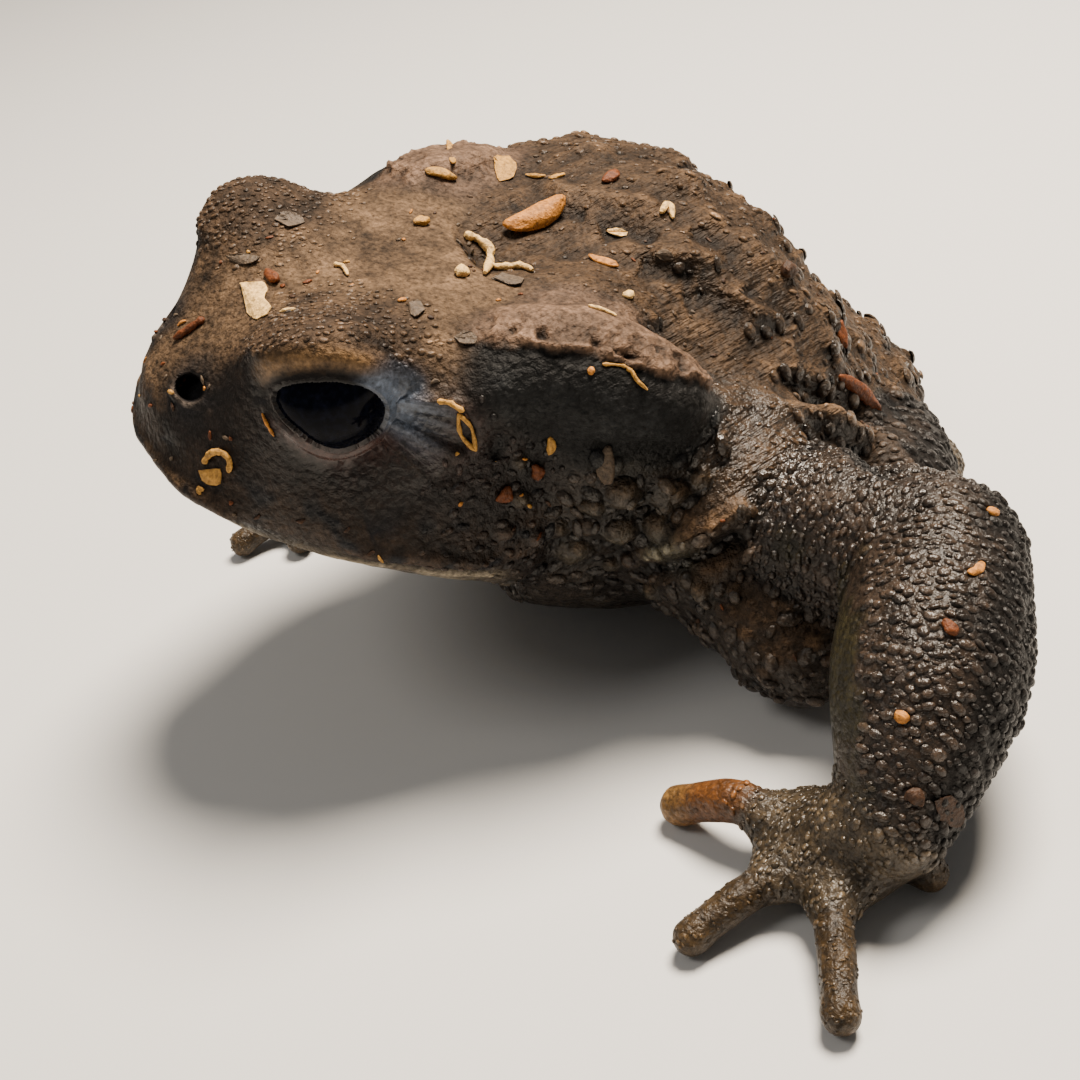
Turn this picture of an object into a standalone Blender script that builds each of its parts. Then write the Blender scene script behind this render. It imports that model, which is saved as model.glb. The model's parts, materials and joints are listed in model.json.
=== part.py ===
"""A life-size adult Asiatic toad, sitting with its head raised and turned to its right.

Points are written as (left, forward, up) in millimetres, as the toad sees them, with the floor at up = 0.
spot() turns one into Blender's metres, where the toad faces -Y and its left side is +X. Points of the head are
written in the head's own frame, whose origin lies midway between the eyes at the level of the lips.
"""

import math
import random

import bmesh
import bpy
from mathutils import Matrix, Vector

MM = 0.001
GAP = 0.30 * MM
BITE = 0.34 * MM
WELD = 0.004 * MM
SEED = 41

# The head's place and lean, and its forms in its own frame.
HEAD_HEIGHT = 22.8
HEAD_YAW = 20.0
HEAD_PITCH = 7.2
HEAD_ROLL = -10.0
# forward, half width at the lips, lip height, throat height, half width of the brow, brow height, crown height
HEAD_SECTIONS = (
    (10.8, 1.4, 1.6, 1.0, 1.0, 3.4, 3.6),
    (10.3, 3.8, 0.8, -0.3, 2.2, 4.4, 4.6),
    (9.3, 6.3, 0.4, -1.5, 3.2, 5.5, 5.8),
    (7.6, 8.9, 0.0, -2.7, 4.4, 6.9, 7.0),
    (4.8, 11.5, -0.4, -4.0, 6.4, 8.9, 8.7),
    (1.5, 13.6, -1.0, -5.4, 8.3, 11.0, 10.3),
    (-3.0, 15.3, -2.0, -7.2, 9.9, 11.4, 10.9),
    (-8.0, 16.0, -3.2, -9.4, 10.9, 11.2, 10.8),
    (-12.0, 15.9, -3.8, -11.6, 11.2, 10.8, 10.6),
    (-17.0, 15.4, -4.2, -13.8, 11.0, 10.0, 10.2),
)
# The fullness between each lid and the crown: centre and half sizes
BROW_FILL = ((6.0, -0.6, 7.3), (6.2, 6.6, 4.5))
NECK_FORWARD = -12.5
EYE = (9.3, -0.2, 7.6)
EYE_RADIUS = 3.95
LID = (9.3, 0.3, 8.0)
LID_SIZE = (4.9, 5.6, 5.0)
EYE_OPENING = (13.6, 0.2, 7.8)
EYE_OPENING_SIZE = (3.2, 4.0, 2.4)
NOSTRIL = (4.3, 7.5, 5.4)
NOSTRIL_RADIUS = 0.65
NOSTRIL_RIM = 1.2
LIP_LINE = (
    (0.0, 10.9, 0.9), (6.3, 9.5, 0.5), (9.2, 7.4, 0.1), (13.7, 1.5, -0.9), (15.4, -3.5, -2.0),
    (16.0, -8.0, -3.2),
)
LIP_RADIUS = 0.75
# forward and up of the cut that parts the jaw from the head, from the chin back to the corner of the mouth
MOUTH_CUT = (
    (16.0, 0.45), (10.6, 0.15), (7.4, -0.75), (1.5, -1.75), (-3.5, -2.9), (-8.4, -4.2), (-10.2, -6.0),
    (-10.6, -22.0),
)
# Each gland is three overlapping egg shapes: centre, then half length, half width and half thickness
PAROTOID_LOBES = (
    ((12.2, -13.4, 8.5), (5.4, 4.1, 2.9)),
    ((13.1, -15.9, 7.9), (7.4, 4.5, 3.2)),
    ((14.0, -18.4, 7.1), (6.2, 3.8, 2.8)),
)
PAROTOID_TILT = 38.0

# The trunk: centre, half width, height above the centre, depth below it, and how far its left side leans down
TRUNK = (
    ((3.6, -8.0, 19.2), 13.8, 10.6, 11.4, 12.0),
    ((4.4, -15.3, 17.5), 17.3, 13.1, 14.4, 16.0),
    ((4.0, -21.9, 16.0), 18.9, 15.4, 15.2, 20.0),
    ((3.0, -28.2, 14.9), 19.8, 15.8, 14.6, 24.5),
    ((3.2, -32.8, 12.4), 19.4, 12.6, 12.8, 26.5),
    ((2.2, -37.4, 9.9), 18.0, 8.8, 10.4, 24.5),
    ((-1.5, -42.2, 7.6), 14.2, 6.4, 8.4, 20.0),
    ((-6.1, -47.4, 6.0), 10.4, 5.4, 6.8, 12.0),
    ((-10.0, -52.5, 4.6), 6.0, 4.2, 4.8, 5.0),
)
# Fullness of the shoulders and of the neck below the left gland: centre and half sizes
SHOULDERS = (
    ((20.8, -19.6, 12.0), (8.0, 8.4, 9.2)),
    ((15.2, -13.6, 17.4), (7.2, 7.8, 5.6)),
    ((-6.4, -23.6, 13.0), (7.0, 7.4, 8.6)),
)
RUMP_REACH = 3.2
BACK_WARTS = 34
BACK_WART_RADIUS = (1.2, 2.0)
BACK_WART_HEIGHT = 0.52
SHOULDER_FOLD = ((15.0, -17.0, 23.0), (20.6, -21.0, 19.6), (24.2, -25.6, 15.8), (24.4, -30.0, 11.4))
SHOULDER_FOLD_RADII = (1.8, 2.2, 2.2, 1.6)
# The breast bulges from the throat to the left armpit
BREAST = ((13.0, -15.6, 11.6), (21.0, -18.2, 9.8), (29.0, -17.6, 5.6))
BREAST_RADII = (5.4, 5.8, 5.0)

# Limb points, from where the limb starts inside the trunk
LEFT_ARM = {
    "shoulder": (17.0, -21.0, 11.6), "root": (25.5, -20.6, 12.4), "elbow": (37.6, -22.0, 13.2),
    "mid": (42.4, -14.2, 10.4), "wrist": (45.0, -7.8, 5.6), "palm": (41.2, -6.0, 2.5),
}
RIGHT_ARM = {
    "shoulder": (-5.0, -25.5, 14.0), "root": (-12.0, -26.4, 13.6), "elbow": (-25.4, -30.2, 12.4),
    "mid": (-26.6, -23.2, 10.0), "wrist": (-22.6, -16.4, 5.6), "palm": (-21.2, -12.2, 2.5),
}
UPPER_ARM_RADII = (6.2, 5.6, 5.4)
FOREARM_RADII = (5.4, 6.0, 3.5)
WRIST_RADII = (3.5, 3.1, 2.2)
PALM_SIZE = (5.4, 4.4, 2.4)
# The last radius is the swollen tip
FINGER_RADII = (1.8, 1.5, 1.35, 1.55)
# How far a digit is raised above a straight line at its root and in its middle
THUMB_LIFTS = (0.85, 1.7)
DIGIT_LIFTS = (0.0, 0.5)
LEFT_FINGER_TIPS = ((30.9, -3.4, 1.5), (39.2, 3.9, 1.3), (49.4, 2.5, 1.3), (46.4, -9.0, 1.3))
RIGHT_FINGER_TIPS = ((-14.4, -13.4, 1.3), (-18.6, -5.6, 1.3), (-22.6, -2.2, 1.3), (-31.0, -8.4, 1.3))

LEFT_LEG = {
    "hip": (2.0, -43.0, 6.2), "thigh": (13.0, -39.0, 6.6), "knee": (26.4, -31.4, 8.4),
    "shank": (18.8, -39.4, 6.2), "heel": (9.8, -47.6, 3.6), "tarsus": (19.6, -43.4, 2.8),
}
RIGHT_LEG = {
    "hip": (-10.0, -46.0, 7.6), "thigh": (-22.4, -43.6, 9.0), "knee": (-33.0, -38.8, 8.6),
    "shank": (-29.6, -48.6, 5.6), "heel": (-20.6, -60.0, 3.6), "tarsus": (-31.6, -56.0, 2.8),
}
THIGH_RADII = (6.0, 6.2, 4.6)
SHANK_RADII = (4.4, 4.4, 3.0)
TARSUS_RADII = (3.0, 2.7, 2.7)
ANKLE_RADII = (2.7, 2.2)
FOOT_SIZE = (6.2, 4.0, 2.2)
FOOT_REACH = 6.4
TOE_RADII = (1.45, 1.25, 1.15, 1.265)
LEFT_TOE_HEADING = 32.0
RIGHT_TOE_HEADING = -40.0
TOES = ((47.0, 8.0), (26.0, 11.6), (8.0, 16.0), (-8.0, 21.5), (-25.0, 15.5))

# node: triangles
BUDGET = {
    "head": 2100, "lower_jaw": 360, "trunk": 2300, "parotoid": 200, "upper_arm": 260, "forearm": 320,
    "hand": 280, "finger": 130, "thigh": 260, "shank": 220, "tarsus": 120, "foot": 230, "toe": 84,
}

SKIN_BACK = ("back_skin", (0.085, 0.068, 0.050), 0.62)
SKIN_SIDE = ("side_skin", (0.042, 0.034, 0.028), 0.45)
SKIN_DIGIT = ("digit_skin", (0.150, 0.080, 0.035), 0.38)
SKIN_JAW = ("jaw_skin", (0.260, 0.215, 0.160), 0.50)
GLAND = ("gland_skin", (0.100, 0.085, 0.078), 0.55)
EYE_BLACK = ("eye_black", (0.006, 0.006, 0.009), 0.06)


def spot(point):
    left, forward, up = point
    return Vector((left, -forward, up)) * MM


def head_turn():
    yaw = Matrix.Rotation(math.radians(HEAD_YAW), 3, "Z")
    pitch = Matrix.Rotation(math.radians(HEAD_PITCH), 3, "X")
    roll = Matrix.Rotation(math.radians(-HEAD_ROLL), 3, "Y")
    return yaw @ pitch @ roll


def head_spot(point):
    """A point of the head's own frame in Blender's metres."""
    return spot(head_turn() @ Vector(point) + Vector((0.0, 0.0, HEAD_HEIGHT)))


def head_axes():
    """The head's left, back and up directions, as the columns of a rotation."""
    origin = head_spot((0, 0, 0))
    left = (head_spot((1, 0, 0)) - origin).normalized()
    back = (head_spot((0, -1, 0)) - origin).normalized()
    up = (head_spot((0, 0, 1)) - origin).normalized()
    return Matrix((left, back, up)).transposed()


def mirrored(point, side):
    return (point[0] * side, point[1], point[2])


def curve_through(values, steps):
    """Catmull-Rom values between the given ones, each a list of numbers, with their ends kept."""
    found = []
    for i in range(len(values) - 1):
        before = values[max(i - 1, 0)]
        start, end = values[i], values[i + 1]
        after = values[min(i + 2, len(values) - 1)]
        for k in range(steps):
            t = k / steps
            row = []
            for a, b, c, d in zip(before, start, end, after):
                bend = 2 * b + (c - a) * t + (2 * a - 5 * b + 4 * c - d) * t * t
                row.append((bend + (3 * b - a - 3 * c + d) * t ** 3) / 2)
            found.append(row)
    found.append(list(values[-1]))
    return found


def ring_faces(bm, rings):
    """Joins rings of equal length into one closed skin with flat ends."""
    rows = [[bm.verts.new(point) for point in ring] for ring in rings]
    count = len(rows[0])
    for near, far in zip(rows, rows[1:]):
        for i in range(count):
            j = (i + 1) % count
            bm.faces.new((near[i], near[j], far[j], far[i]))
    bm.faces.new(list(reversed(rows[0])))
    bm.faces.new(rows[-1])


def ball(bm, centre, sizes, turn=None, parts=14):
    """An ellipsoid with half sizes in millimetres along the columns of turn."""
    turn = turn or Matrix.Identity(3)
    shape = Matrix.Translation(centre) @ turn.to_4x4() @ Matrix.Diagonal((*[s * MM for s in sizes], 1.0))
    bmesh.ops.create_uvsphere(bm, u_segments=parts, v_segments=parts // 2 + 1, radius=1.0, matrix=shape)


def tube(bm, points, radii, sides=14, steps=5):
    """A round-ended limb through the points (metres), with a radius in millimetres at each."""
    values = [(*point, radius * MM) for point, radius in zip(points, radii)]
    rows = curve_through(values, steps)
    path = [Vector(row[:3]) for row in rows]
    rings = []
    for i, centre in enumerate(path):
        along = (path[min(i + 1, len(path) - 1)] - path[max(i - 1, 0)]).normalized()
        across = along.cross(Vector((0.0, 0.0, 1.0)))
        if across.length < 0.1:
            across = along.cross(Vector((1.0, 0.0, 0.0)))
        across.normalize()
        over = across.cross(along)
        radius = rows[i][3]
        turns = [2 * math.pi * k / sides for k in range(sides)]
        rings.append([centre + radius * (math.cos(a) * across + math.sin(a) * over) for a in turns])
    ring_faces(bm, rings)
    for point, radius in ((points[0], radii[0]), (points[-1], radii[-1])):
        ball(bm, point, (radius, radius, radius))


def trunk_rings(sides=26, steps=4):
    """The trunk's sections: rounded above, flatter below, square to the line of its centres."""
    values = []
    for centre, wide, high, low, lean in TRUNK:
        values.append((*spot(centre), wide * MM, high * MM, low * MM, lean))
    rows = curve_through(values, steps)
    path = [Vector(row[:3]) for row in rows]
    rings = []
    for i, centre in enumerate(path):
        along = (path[min(i + 1, len(path) - 1)] - path[max(i - 1, 0)]).normalized()
        wide, high, low, lean = rows[i][3:]
        tilt = Matrix.Rotation(math.radians(lean), 3, Vector((0.0, 1.0, 0.0)))
        across = tilt @ Vector((0.0, 0.0, 1.0)).cross(along).normalized()
        over = along.cross(across)
        ring = []
        for k in range(sides):
            angle = 2 * math.pi * k / sides
            c, s = math.cos(angle), math.sin(angle)
            squared = math.copysign(abs(c) ** 0.92, c) * wide
            raised = math.copysign(abs(s) ** (0.96 if s > 0 else 0.86), s) * (high if s > 0 else low)
            ring.append(centre + squared * across + raised * over)
        rings.append(ring)
    return rings


def head_rings(steps=3):
    """The head's sections, from the snout to the nape."""
    rings = []
    for forward, lip, lip_up, throat, brow, brow_up, crown in curve_through(HEAD_SECTIONS, steps):
        drop = lip_up - throat
        rise = brow_up - lip_up
        side = [
            (lip * 0.60, throat + drop * 0.10), (lip * 0.90, throat + drop * 0.48), (lip, lip_up),
            (lip + (brow - lip) * 0.12, lip_up + rise * 0.30),
            (lip + (brow - lip) * 0.32, lip_up + rise * 0.62),
            (brow, brow_up - rise * 0.06), (brow * 0.62, crown + (brow_up - crown) * 0.5 + 0.15),
        ]
        outline = [(0.0, throat)] + side + [(0.0, crown)] + [(-x, z) for x, z in reversed(side)]
        closed = outline[-1:] + outline + outline[:2]
        smooth = curve_through(closed, 2)[2:-4]
        rings.append([head_spot((x, forward, z)) for x, z in smooth])
    return rings


def new_object(name, bm):
    mesh = bpy.data.meshes.new(name)
    bm.to_mesh(mesh)
    bm.free()
    made = bpy.data.objects.new(name, mesh)
    bpy.context.scene.collection.objects.link(made)
    return made


def apply(obj, kind, **settings):
    """Adds one modifier, sets it and bakes it into the mesh."""
    modifier = obj.modifiers.new(kind.lower(), kind)
    for key, value in settings.items():
        setattr(modifier, key, value)
    graph = bpy.context.evaluated_depsgraph_get()
    mesh = bpy.data.meshes.new_from_object(obj.evaluated_get(graph))
    obj.modifiers.clear()
    old = obj.data
    obj.data = mesh
    bpy.data.meshes.remove(old)


def triangle_count(obj):
    return sum(len(face.vertices) - 2 for face in obj.data.polygons)


def mend(bm):
    """Welds the slivers that a cut leaves, further apart each round, until every edge has two faces."""
    for tries in range(1, 11):
        bmesh.ops.remove_doubles(bm, verts=bm.verts, dist=WELD * tries)
        bmesh.ops.dissolve_degenerate(bm, edges=bm.edges, dist=WELD * tries)
        crowded = [edge for edge in bm.edges if len(edge.link_faces) > 2]
        bmesh.ops.collapse(bm, edges=crowded)
        bare = [edge for edge in bm.edges if not edge.link_faces]
        bmesh.ops.delete(bm, geom=bare, context="EDGES")
        gaps = [edge for edge in bm.edges if len(edge.link_faces) == 1]
        bmesh.ops.holes_fill(bm, edges=gaps, sides=0)
        bmesh.ops.triangulate(bm, faces=bm.faces)
        if all(len(edge.link_faces) == 2 for edge in bm.edges):
            break


def thin(obj, triangles):
    """Leaves a closed skin its share of triangles."""
    ratio = min(1.0, triangles / triangle_count(obj))
    apply(obj, "DECIMATE", ratio=ratio, use_collapse_triangulate=True)
    bm = bmesh.new()
    bm.from_mesh(obj.data)
    mend(bm)
    bm.to_mesh(obj.data)
    bm.free()


def soften(obj, voxel, passes, triangles):
    """Fuses the overlapping forms of a node into one skin, smooths it and thins it to its triangles."""
    apply(obj, "REMESH", mode="VOXEL", voxel_size=voxel * MM, adaptivity=0.0)
    apply(obj, "SMOOTH", factor=0.5, iterations=passes)
    thin(obj, triangles)


def grown(obj, reach):
    """A copy that stands out by reach all over, which keeps the next node clear of this one."""
    copy = obj.copy()
    copy.data = obj.data.copy()
    copy.name = "clear_of_" + obj.name
    bpy.context.scene.collection.objects.link(copy)
    bm = bmesh.new()
    bm.from_mesh(copy.data)
    bm.normal_update()
    for vertex in bm.verts:
        vertex.co += vertex.normal * reach
    bm.to_mesh(copy.data)
    bm.free()
    return copy


def cut(obj, other, operation="DIFFERENCE"):
    apply(obj, "BOOLEAN", operation=operation, object=other, solver="MANIFOLD")


def discard(obj):
    mesh = obj.data
    bpy.data.objects.remove(obj)
    bpy.data.meshes.remove(mesh)


def box_of(obj):
    corners = [obj.matrix_world @ Vector(corner) for corner in obj.bound_box]
    low = Vector([min(c[i] for c in corners) for i in range(3)])
    high = Vector([max(c[i] for c in corners) for i in range(3)])
    return low, high


def boxes_touch(one, other, reach):
    (low_a, high_a), (low_b, high_b) = box_of(one), box_of(other)
    return all(low_a[i] - reach < high_b[i] and low_b[i] - reach < high_a[i] for i in range(3))


def keep_largest(obj):
    """Mends a node and keeps its largest closed surface."""
    bm = bmesh.new()
    bm.from_mesh(obj.data)
    bmesh.ops.triangulate(bm, faces=bm.faces)
    mend(bm)
    left = set(bm.verts)
    groups = []
    while left:
        stack = [left.pop()]
        group = set(stack)
        while stack:
            for edge in stack.pop().link_edges:
                for vertex in edge.verts:
                    if vertex in left:
                        left.remove(vertex)
                        group.add(vertex)
                        stack.append(vertex)
        groups.append(group)
    groups.sort(key=len, reverse=True)
    for group in groups[1:]:
        bmesh.ops.delete(bm, geom=list(group), context="VERTS")
    bmesh.ops.recalc_face_normals(bm, faces=bm.faces)
    bm.to_mesh(obj.data)
    bm.free()


def trim(obj, place, inward):
    """Keeps the side of the plane through place that inward points to, and closes the cut."""
    bm = bmesh.new()
    bm.from_mesh(obj.data)
    geometry = bm.verts[:] + bm.edges[:] + bm.faces[:]
    cut_at = bmesh.ops.bisect_plane(
        bm, geom=geometry, dist=WELD, plane_co=place, plane_no=inward, clear_inner=True
    )
    edges = [item for item in cut_at["geom_cut"] if isinstance(item, bmesh.types.BMEdge)]
    bmesh.ops.holes_fill(bm, edges=edges, sides=0)
    bmesh.ops.triangulate(bm, faces=bm.faces)
    bm.to_mesh(obj.data)
    bm.free()


def trim_floor(obj):
    """Cuts off what dips below the floor, which leaves the small flats that the toad rests on."""
    if box_of(obj)[0].z < 0.0:
        trim(obj, Vector((0.0, 0.0, 0.0)), Vector((0.0, 0.0, 1.0)))


def joint_plane(before, joint, after):
    """The direction across a joint, from the piece that ends there to the one that starts there."""
    arriving = (spot(joint) - spot(before)).normalized()
    leaving = (spot(after) - spot(joint)).normalized()
    return (arriving + leaving).normalized()


class Model:
    """The finished nodes in order: each new one is cut clear of those before it."""

    def __init__(self):
        self.nodes = []

    def add(self, obj, material, clear=True):
        if clear:
            for other in self.nodes:
                if boxes_touch(obj, other, BITE):
                    cutter = grown(other, BITE)
                    cut(obj, cutter)
                    discard(cutter)
        trim_floor(obj)
        keep_largest(obj)
        obj.data.materials.clear()
        obj.data.materials.append(material)
        obj.data.shade_smooth()
        obj.data.set_sharp_from_angle(angle=math.radians(50))
        self.nodes.append(obj)
        return obj


def skin_material(named):
    name, colour, roughness = named
    material = bpy.data.materials.get(name)
    if material:
        return material
    material = bpy.data.materials.new(name)
    material.use_nodes = True
    shader = material.node_tree.nodes["Principled BSDF"]
    shader.inputs["Base Color"].default_value = (*colour, 1.0)
    shader.inputs["Roughness"].default_value = roughness
    shader.inputs["Metallic"].default_value = 0.0
    return material


def side_name(side):
    return "left" if side > 0 else "right"


def make_eye(model, side):
    bm = bmesh.new()
    ball(bm, head_spot(mirrored(EYE, side)), (EYE_RADIUS,) * 3, head_axes(), parts=16)
    model.add(new_object("eye_" + side_name(side), bm), skin_material(EYE_BLACK), clear=False)


def make_parotoid(model, side):
    """The swollen gland behind the eye: longer than wide, and laid over on the side of the neck."""
    places = [head_spot(mirrored(centre, side)) for centre, _ in PAROTOID_LOBES]
    along = (places[-1] - places[0]).normalized()
    up = head_axes().col[2]
    outward = Matrix.Rotation(math.radians(PAROTOID_TILT * side), 3, along) @ up
    outward = (outward - outward.dot(along) * along).normalized()
    across = outward.cross(along)
    turn = Matrix((along, across, outward)).transposed()
    bm = bmesh.new()
    for place, (_, sizes) in zip(places, PAROTOID_LOBES):
        ball(bm, place, sizes, turn)
    obj = new_object("parotoid_" + side_name(side), bm)
    soften(obj, 0.5, 6, BUDGET["parotoid"])
    model.add(obj, skin_material(GLAND), clear=False)


def jaw_wedge(name, drop):
    """A block under the line of the mouth, as wide as the head, whose top lies lower by drop millimetres."""
    bm = bmesh.new()
    outline = [(forward, up - drop) for forward, up in MOUTH_CUT] + [(16.0, -20.0)]
    reach = 24.0
    ring_faces(bm, [[head_spot((x, forward, up)) for forward, up in outline] for x in (-reach, reach)])
    bmesh.ops.triangulate(bm, faces=bm.faces)
    bmesh.ops.recalc_face_normals(bm, faces=bm.faces)
    return new_object(name, bm)


def neck_block(name, shift):
    """Everything behind the neck cut, from shift millimetres in front of it."""
    bm = bmesh.new()
    size = 80.0
    centre = head_spot((0.0, NECK_FORWARD + shift - size / 2, 0.0))
    shape = Matrix.Translation(centre) @ head_axes().to_4x4()
    bmesh.ops.create_cube(bm, size=size * MM, matrix=shape)
    bmesh.ops.recalc_face_normals(bm, faces=bm.faces)
    return new_object(name, bm)


def raw_head():
    """The head's large forms run softly into each other, while the lips and nostril rims stay crisp."""
    bm = bmesh.new()
    ring_faces(bm, head_rings())
    for side in (1, -1):
        ball(bm, head_spot(mirrored(LID, side)), LID_SIZE, head_axes())
        ball(bm, head_spot(mirrored(BROW_FILL[0], side)), BROW_FILL[1], head_axes())
    soft = new_object("soft_head", bm)
    apply(soft, "REMESH", mode="VOXEL", voxel_size=0.5 * MM, adaptivity=0.0)
    apply(soft, "SMOOTH", factor=0.5, iterations=30)
    bm = bmesh.new()
    bm.from_mesh(soft.data)
    discard(soft)
    for side in (1, -1):
        lips = [head_spot(mirrored(point, side)) for point in LIP_LINE]
        tube(bm, lips, (LIP_RADIUS,) * len(lips), sides=8, steps=3)
        ball(bm, head_spot(mirrored(NOSTRIL, side)), (NOSTRIL_RIM,) * 3, parts=10)
    return new_object("head", bm)


def make_head(model):
    head = raw_head()
    apply(head, "REMESH", mode="VOXEL", voxel_size=0.4 * MM, adaptivity=0.0)
    apply(head, "SMOOTH", factor=0.5, iterations=8)
    jaw = head.copy()
    jaw.data = head.data.copy()
    jaw.name = "lower_jaw"
    bpy.context.scene.collection.objects.link(jaw)
    openings = new_object("openings", face_openings())
    above = jaw_wedge("mouth_above", 0.0)
    below = jaw_wedge("mouth_below", GAP / MM)
    behind = neck_block("neck", GAP / MM / 2)
    cut(jaw, below, "INTERSECT")
    cut(jaw, behind)
    thin(jaw, BUDGET["lower_jaw"])
    for cutter in (above, behind):
        cut(head, cutter)
    thin(head, BUDGET["head"])
    cut(head, openings)
    model.add(head, skin_material(SKIN_BACK))
    model.add(jaw, skin_material(SKIN_JAW))
    for cutter in (openings, above, below, behind):
        discard(cutter)


def face_openings():
    """The slots between the lids and the pits of the nostrils."""
    bm = bmesh.new()
    for side in (1, -1):
        ball(bm, head_spot(mirrored(EYE_OPENING, side)), EYE_OPENING_SIZE, head_axes(), parts=20)
        pit = Vector(mirrored(NOSTRIL, side)) + Vector((0.45 * side, 1.0, 0.35))
        ball(bm, head_spot(pit), (NOSTRIL_RADIUS, 1.1, NOSTRIL_RADIUS), head_axes(), parts=10)
    return bm


def back_wart_places(rings):
    """Seeded places on the upper side of the trunk, kept apart, each with its radius and its directions."""
    draw = random.Random(SEED)
    chosen = []
    tries = 0
    while len(chosen) < BACK_WARTS and tries < 4000:
        tries += 1
        row = draw.randint(6, len(rings) - 5)
        column = draw.uniform(0.03, 0.47) * len(rings[0])
        radius = draw.uniform(*BACK_WART_RADIUS)
        k = int(column)
        a, b = rings[row][k], rings[row][k + 1]
        place = a.lerp(b, column - k)
        if all((place - other[0]).length > (radius + other[1]) * 1.2 * MM for other in chosen):
            along = (rings[row + 1][k] - rings[row - 1][k]).normalized()
            outward = along.cross(b - a).normalized()
            if outward.dot(place - sum(rings[row], Vector()) / len(rings[row])) < 0:
                outward.negate()
            turn = Matrix((along, outward.cross(along), outward)).transposed()
            chosen.append((place, radius, turn))
    return chosen


def make_trunk(model):
    bm = bmesh.new()
    rings = trunk_rings()
    ring_faces(bm, rings)
    end, wide, high, low, _ = TRUNK[-1]
    ball(bm, spot(end), (wide * 0.9, RUMP_REACH, (high + low) * 0.46))
    for centre, sizes in SHOULDERS:
        ball(bm, spot(centre), sizes)
    for place, radius, turn in back_wart_places(rings):
        ball(bm, place, (radius * 1.25, radius, radius * BACK_WART_HEIGHT), turn, parts=12)
    tube(bm, [spot(point) for point in SHOULDER_FOLD], SHOULDER_FOLD_RADII)
    tube(bm, [spot(point) for point in BREAST], BREAST_RADII)
    trunk = new_object("trunk", bm)
    soften(trunk, 0.55, 4, BUDGET["trunk"])
    ahead = neck_block("neck", -GAP / MM / 2)
    cut(trunk, ahead, "INTERSECT")
    discard(ahead)
    model.add(trunk, skin_material(SKIN_BACK))


def part_at_joints(obj, start=None, end=None):
    """Cuts a limb piece square at its joints, half a gap short; start and end are three points each."""
    half = GAP / 2
    if start:
        away = joint_plane(*start)
        trim(obj, spot(start[1]) + away * half, away)
    if end:
        away = joint_plane(*end)
        trim(obj, spot(end[1]) - away * half, -away)


def make_limb_piece(model, kind, side, points, radii, start=None, end=None):
    bm = bmesh.new()
    tube(bm, [spot(point) for point in points], radii)
    obj = new_object(kind + "_" + side_name(side), bm)
    soften(obj, 0.5, 3, BUDGET[kind])
    part_at_joints(obj, start, end)
    model.add(obj, skin_material(SKIN_SIDE))


def between(start, end, share, lift=0.0):
    place = [a + (b - a) * share for a, b in zip(start, end)]
    place[2] += lift
    return tuple(place)


def flat_turn(start, end):
    """A rotation whose first column runs level from start to end."""
    along = spot(end) - spot(start)
    return Matrix.Rotation(math.atan2(along.y, along.x), 3, "Z")


def make_arm(model, arm, side, finger_tips):
    name = side_name(side)
    root, elbow, mid, wrist, palm = (arm[key] for key in ("root", "elbow", "mid", "wrist", "palm"))
    at_elbow = (root, elbow, mid)
    at_wrist = (mid, wrist, palm)
    make_limb_piece(model, "upper_arm", side, (arm["shoulder"], root, elbow), UPPER_ARM_RADII, end=at_elbow)
    make_limb_piece(model, "forearm", side, (elbow, mid, wrist), FOREARM_RADII, at_elbow, at_wrist)
    bm = bmesh.new()
    heading = flat_turn(between(finger_tips[0], finger_tips[3], 0.5), palm)
    ball(bm, spot(palm), PALM_SIZE, heading)
    tube(bm, [spot(wrist), spot(between(wrist, palm, 0.6, 0.4)), spot(palm)], WRIST_RADII)
    lifts = (THUMB_LIFTS, DIGIT_LIFTS, DIGIT_LIFTS, DIGIT_LIFTS)
    for tip, (_, raised) in zip(finger_tips, lifts):
        tube(bm, [spot(palm), spot(between(palm, tip, 0.42, raised * 0.7))], (2.0, 1.7))
    hand = new_object("hand_" + name, bm)
    soften(hand, 0.45, 3, BUDGET["hand"])
    part_at_joints(hand, start=at_wrist)
    model.add(hand, skin_material(SKIN_SIDE))
    for number, (tip, lift) in enumerate(zip(finger_tips, lifts), 1):
        make_digit(model, "finger_%s_%d" % (name, number), "finger", palm, tip, FINGER_RADII, 0.30, lift)


def make_digit(model, name, kind, root, tip, radii, start, lift):
    """A finger or toe from inside its hand or foot to its swollen tip, arched in the middle."""
    points = [between(root, tip, start, lift[0]), between(root, tip, 0.62, lift[1]), tip]
    bm = bmesh.new()
    tube(bm, [spot(point) for point in points], radii, sides=10)
    obj = new_object(name, bm)
    soften(obj, 0.35, 2, BUDGET[kind])
    model.add(obj, skin_material(SKIN_DIGIT))


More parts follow.
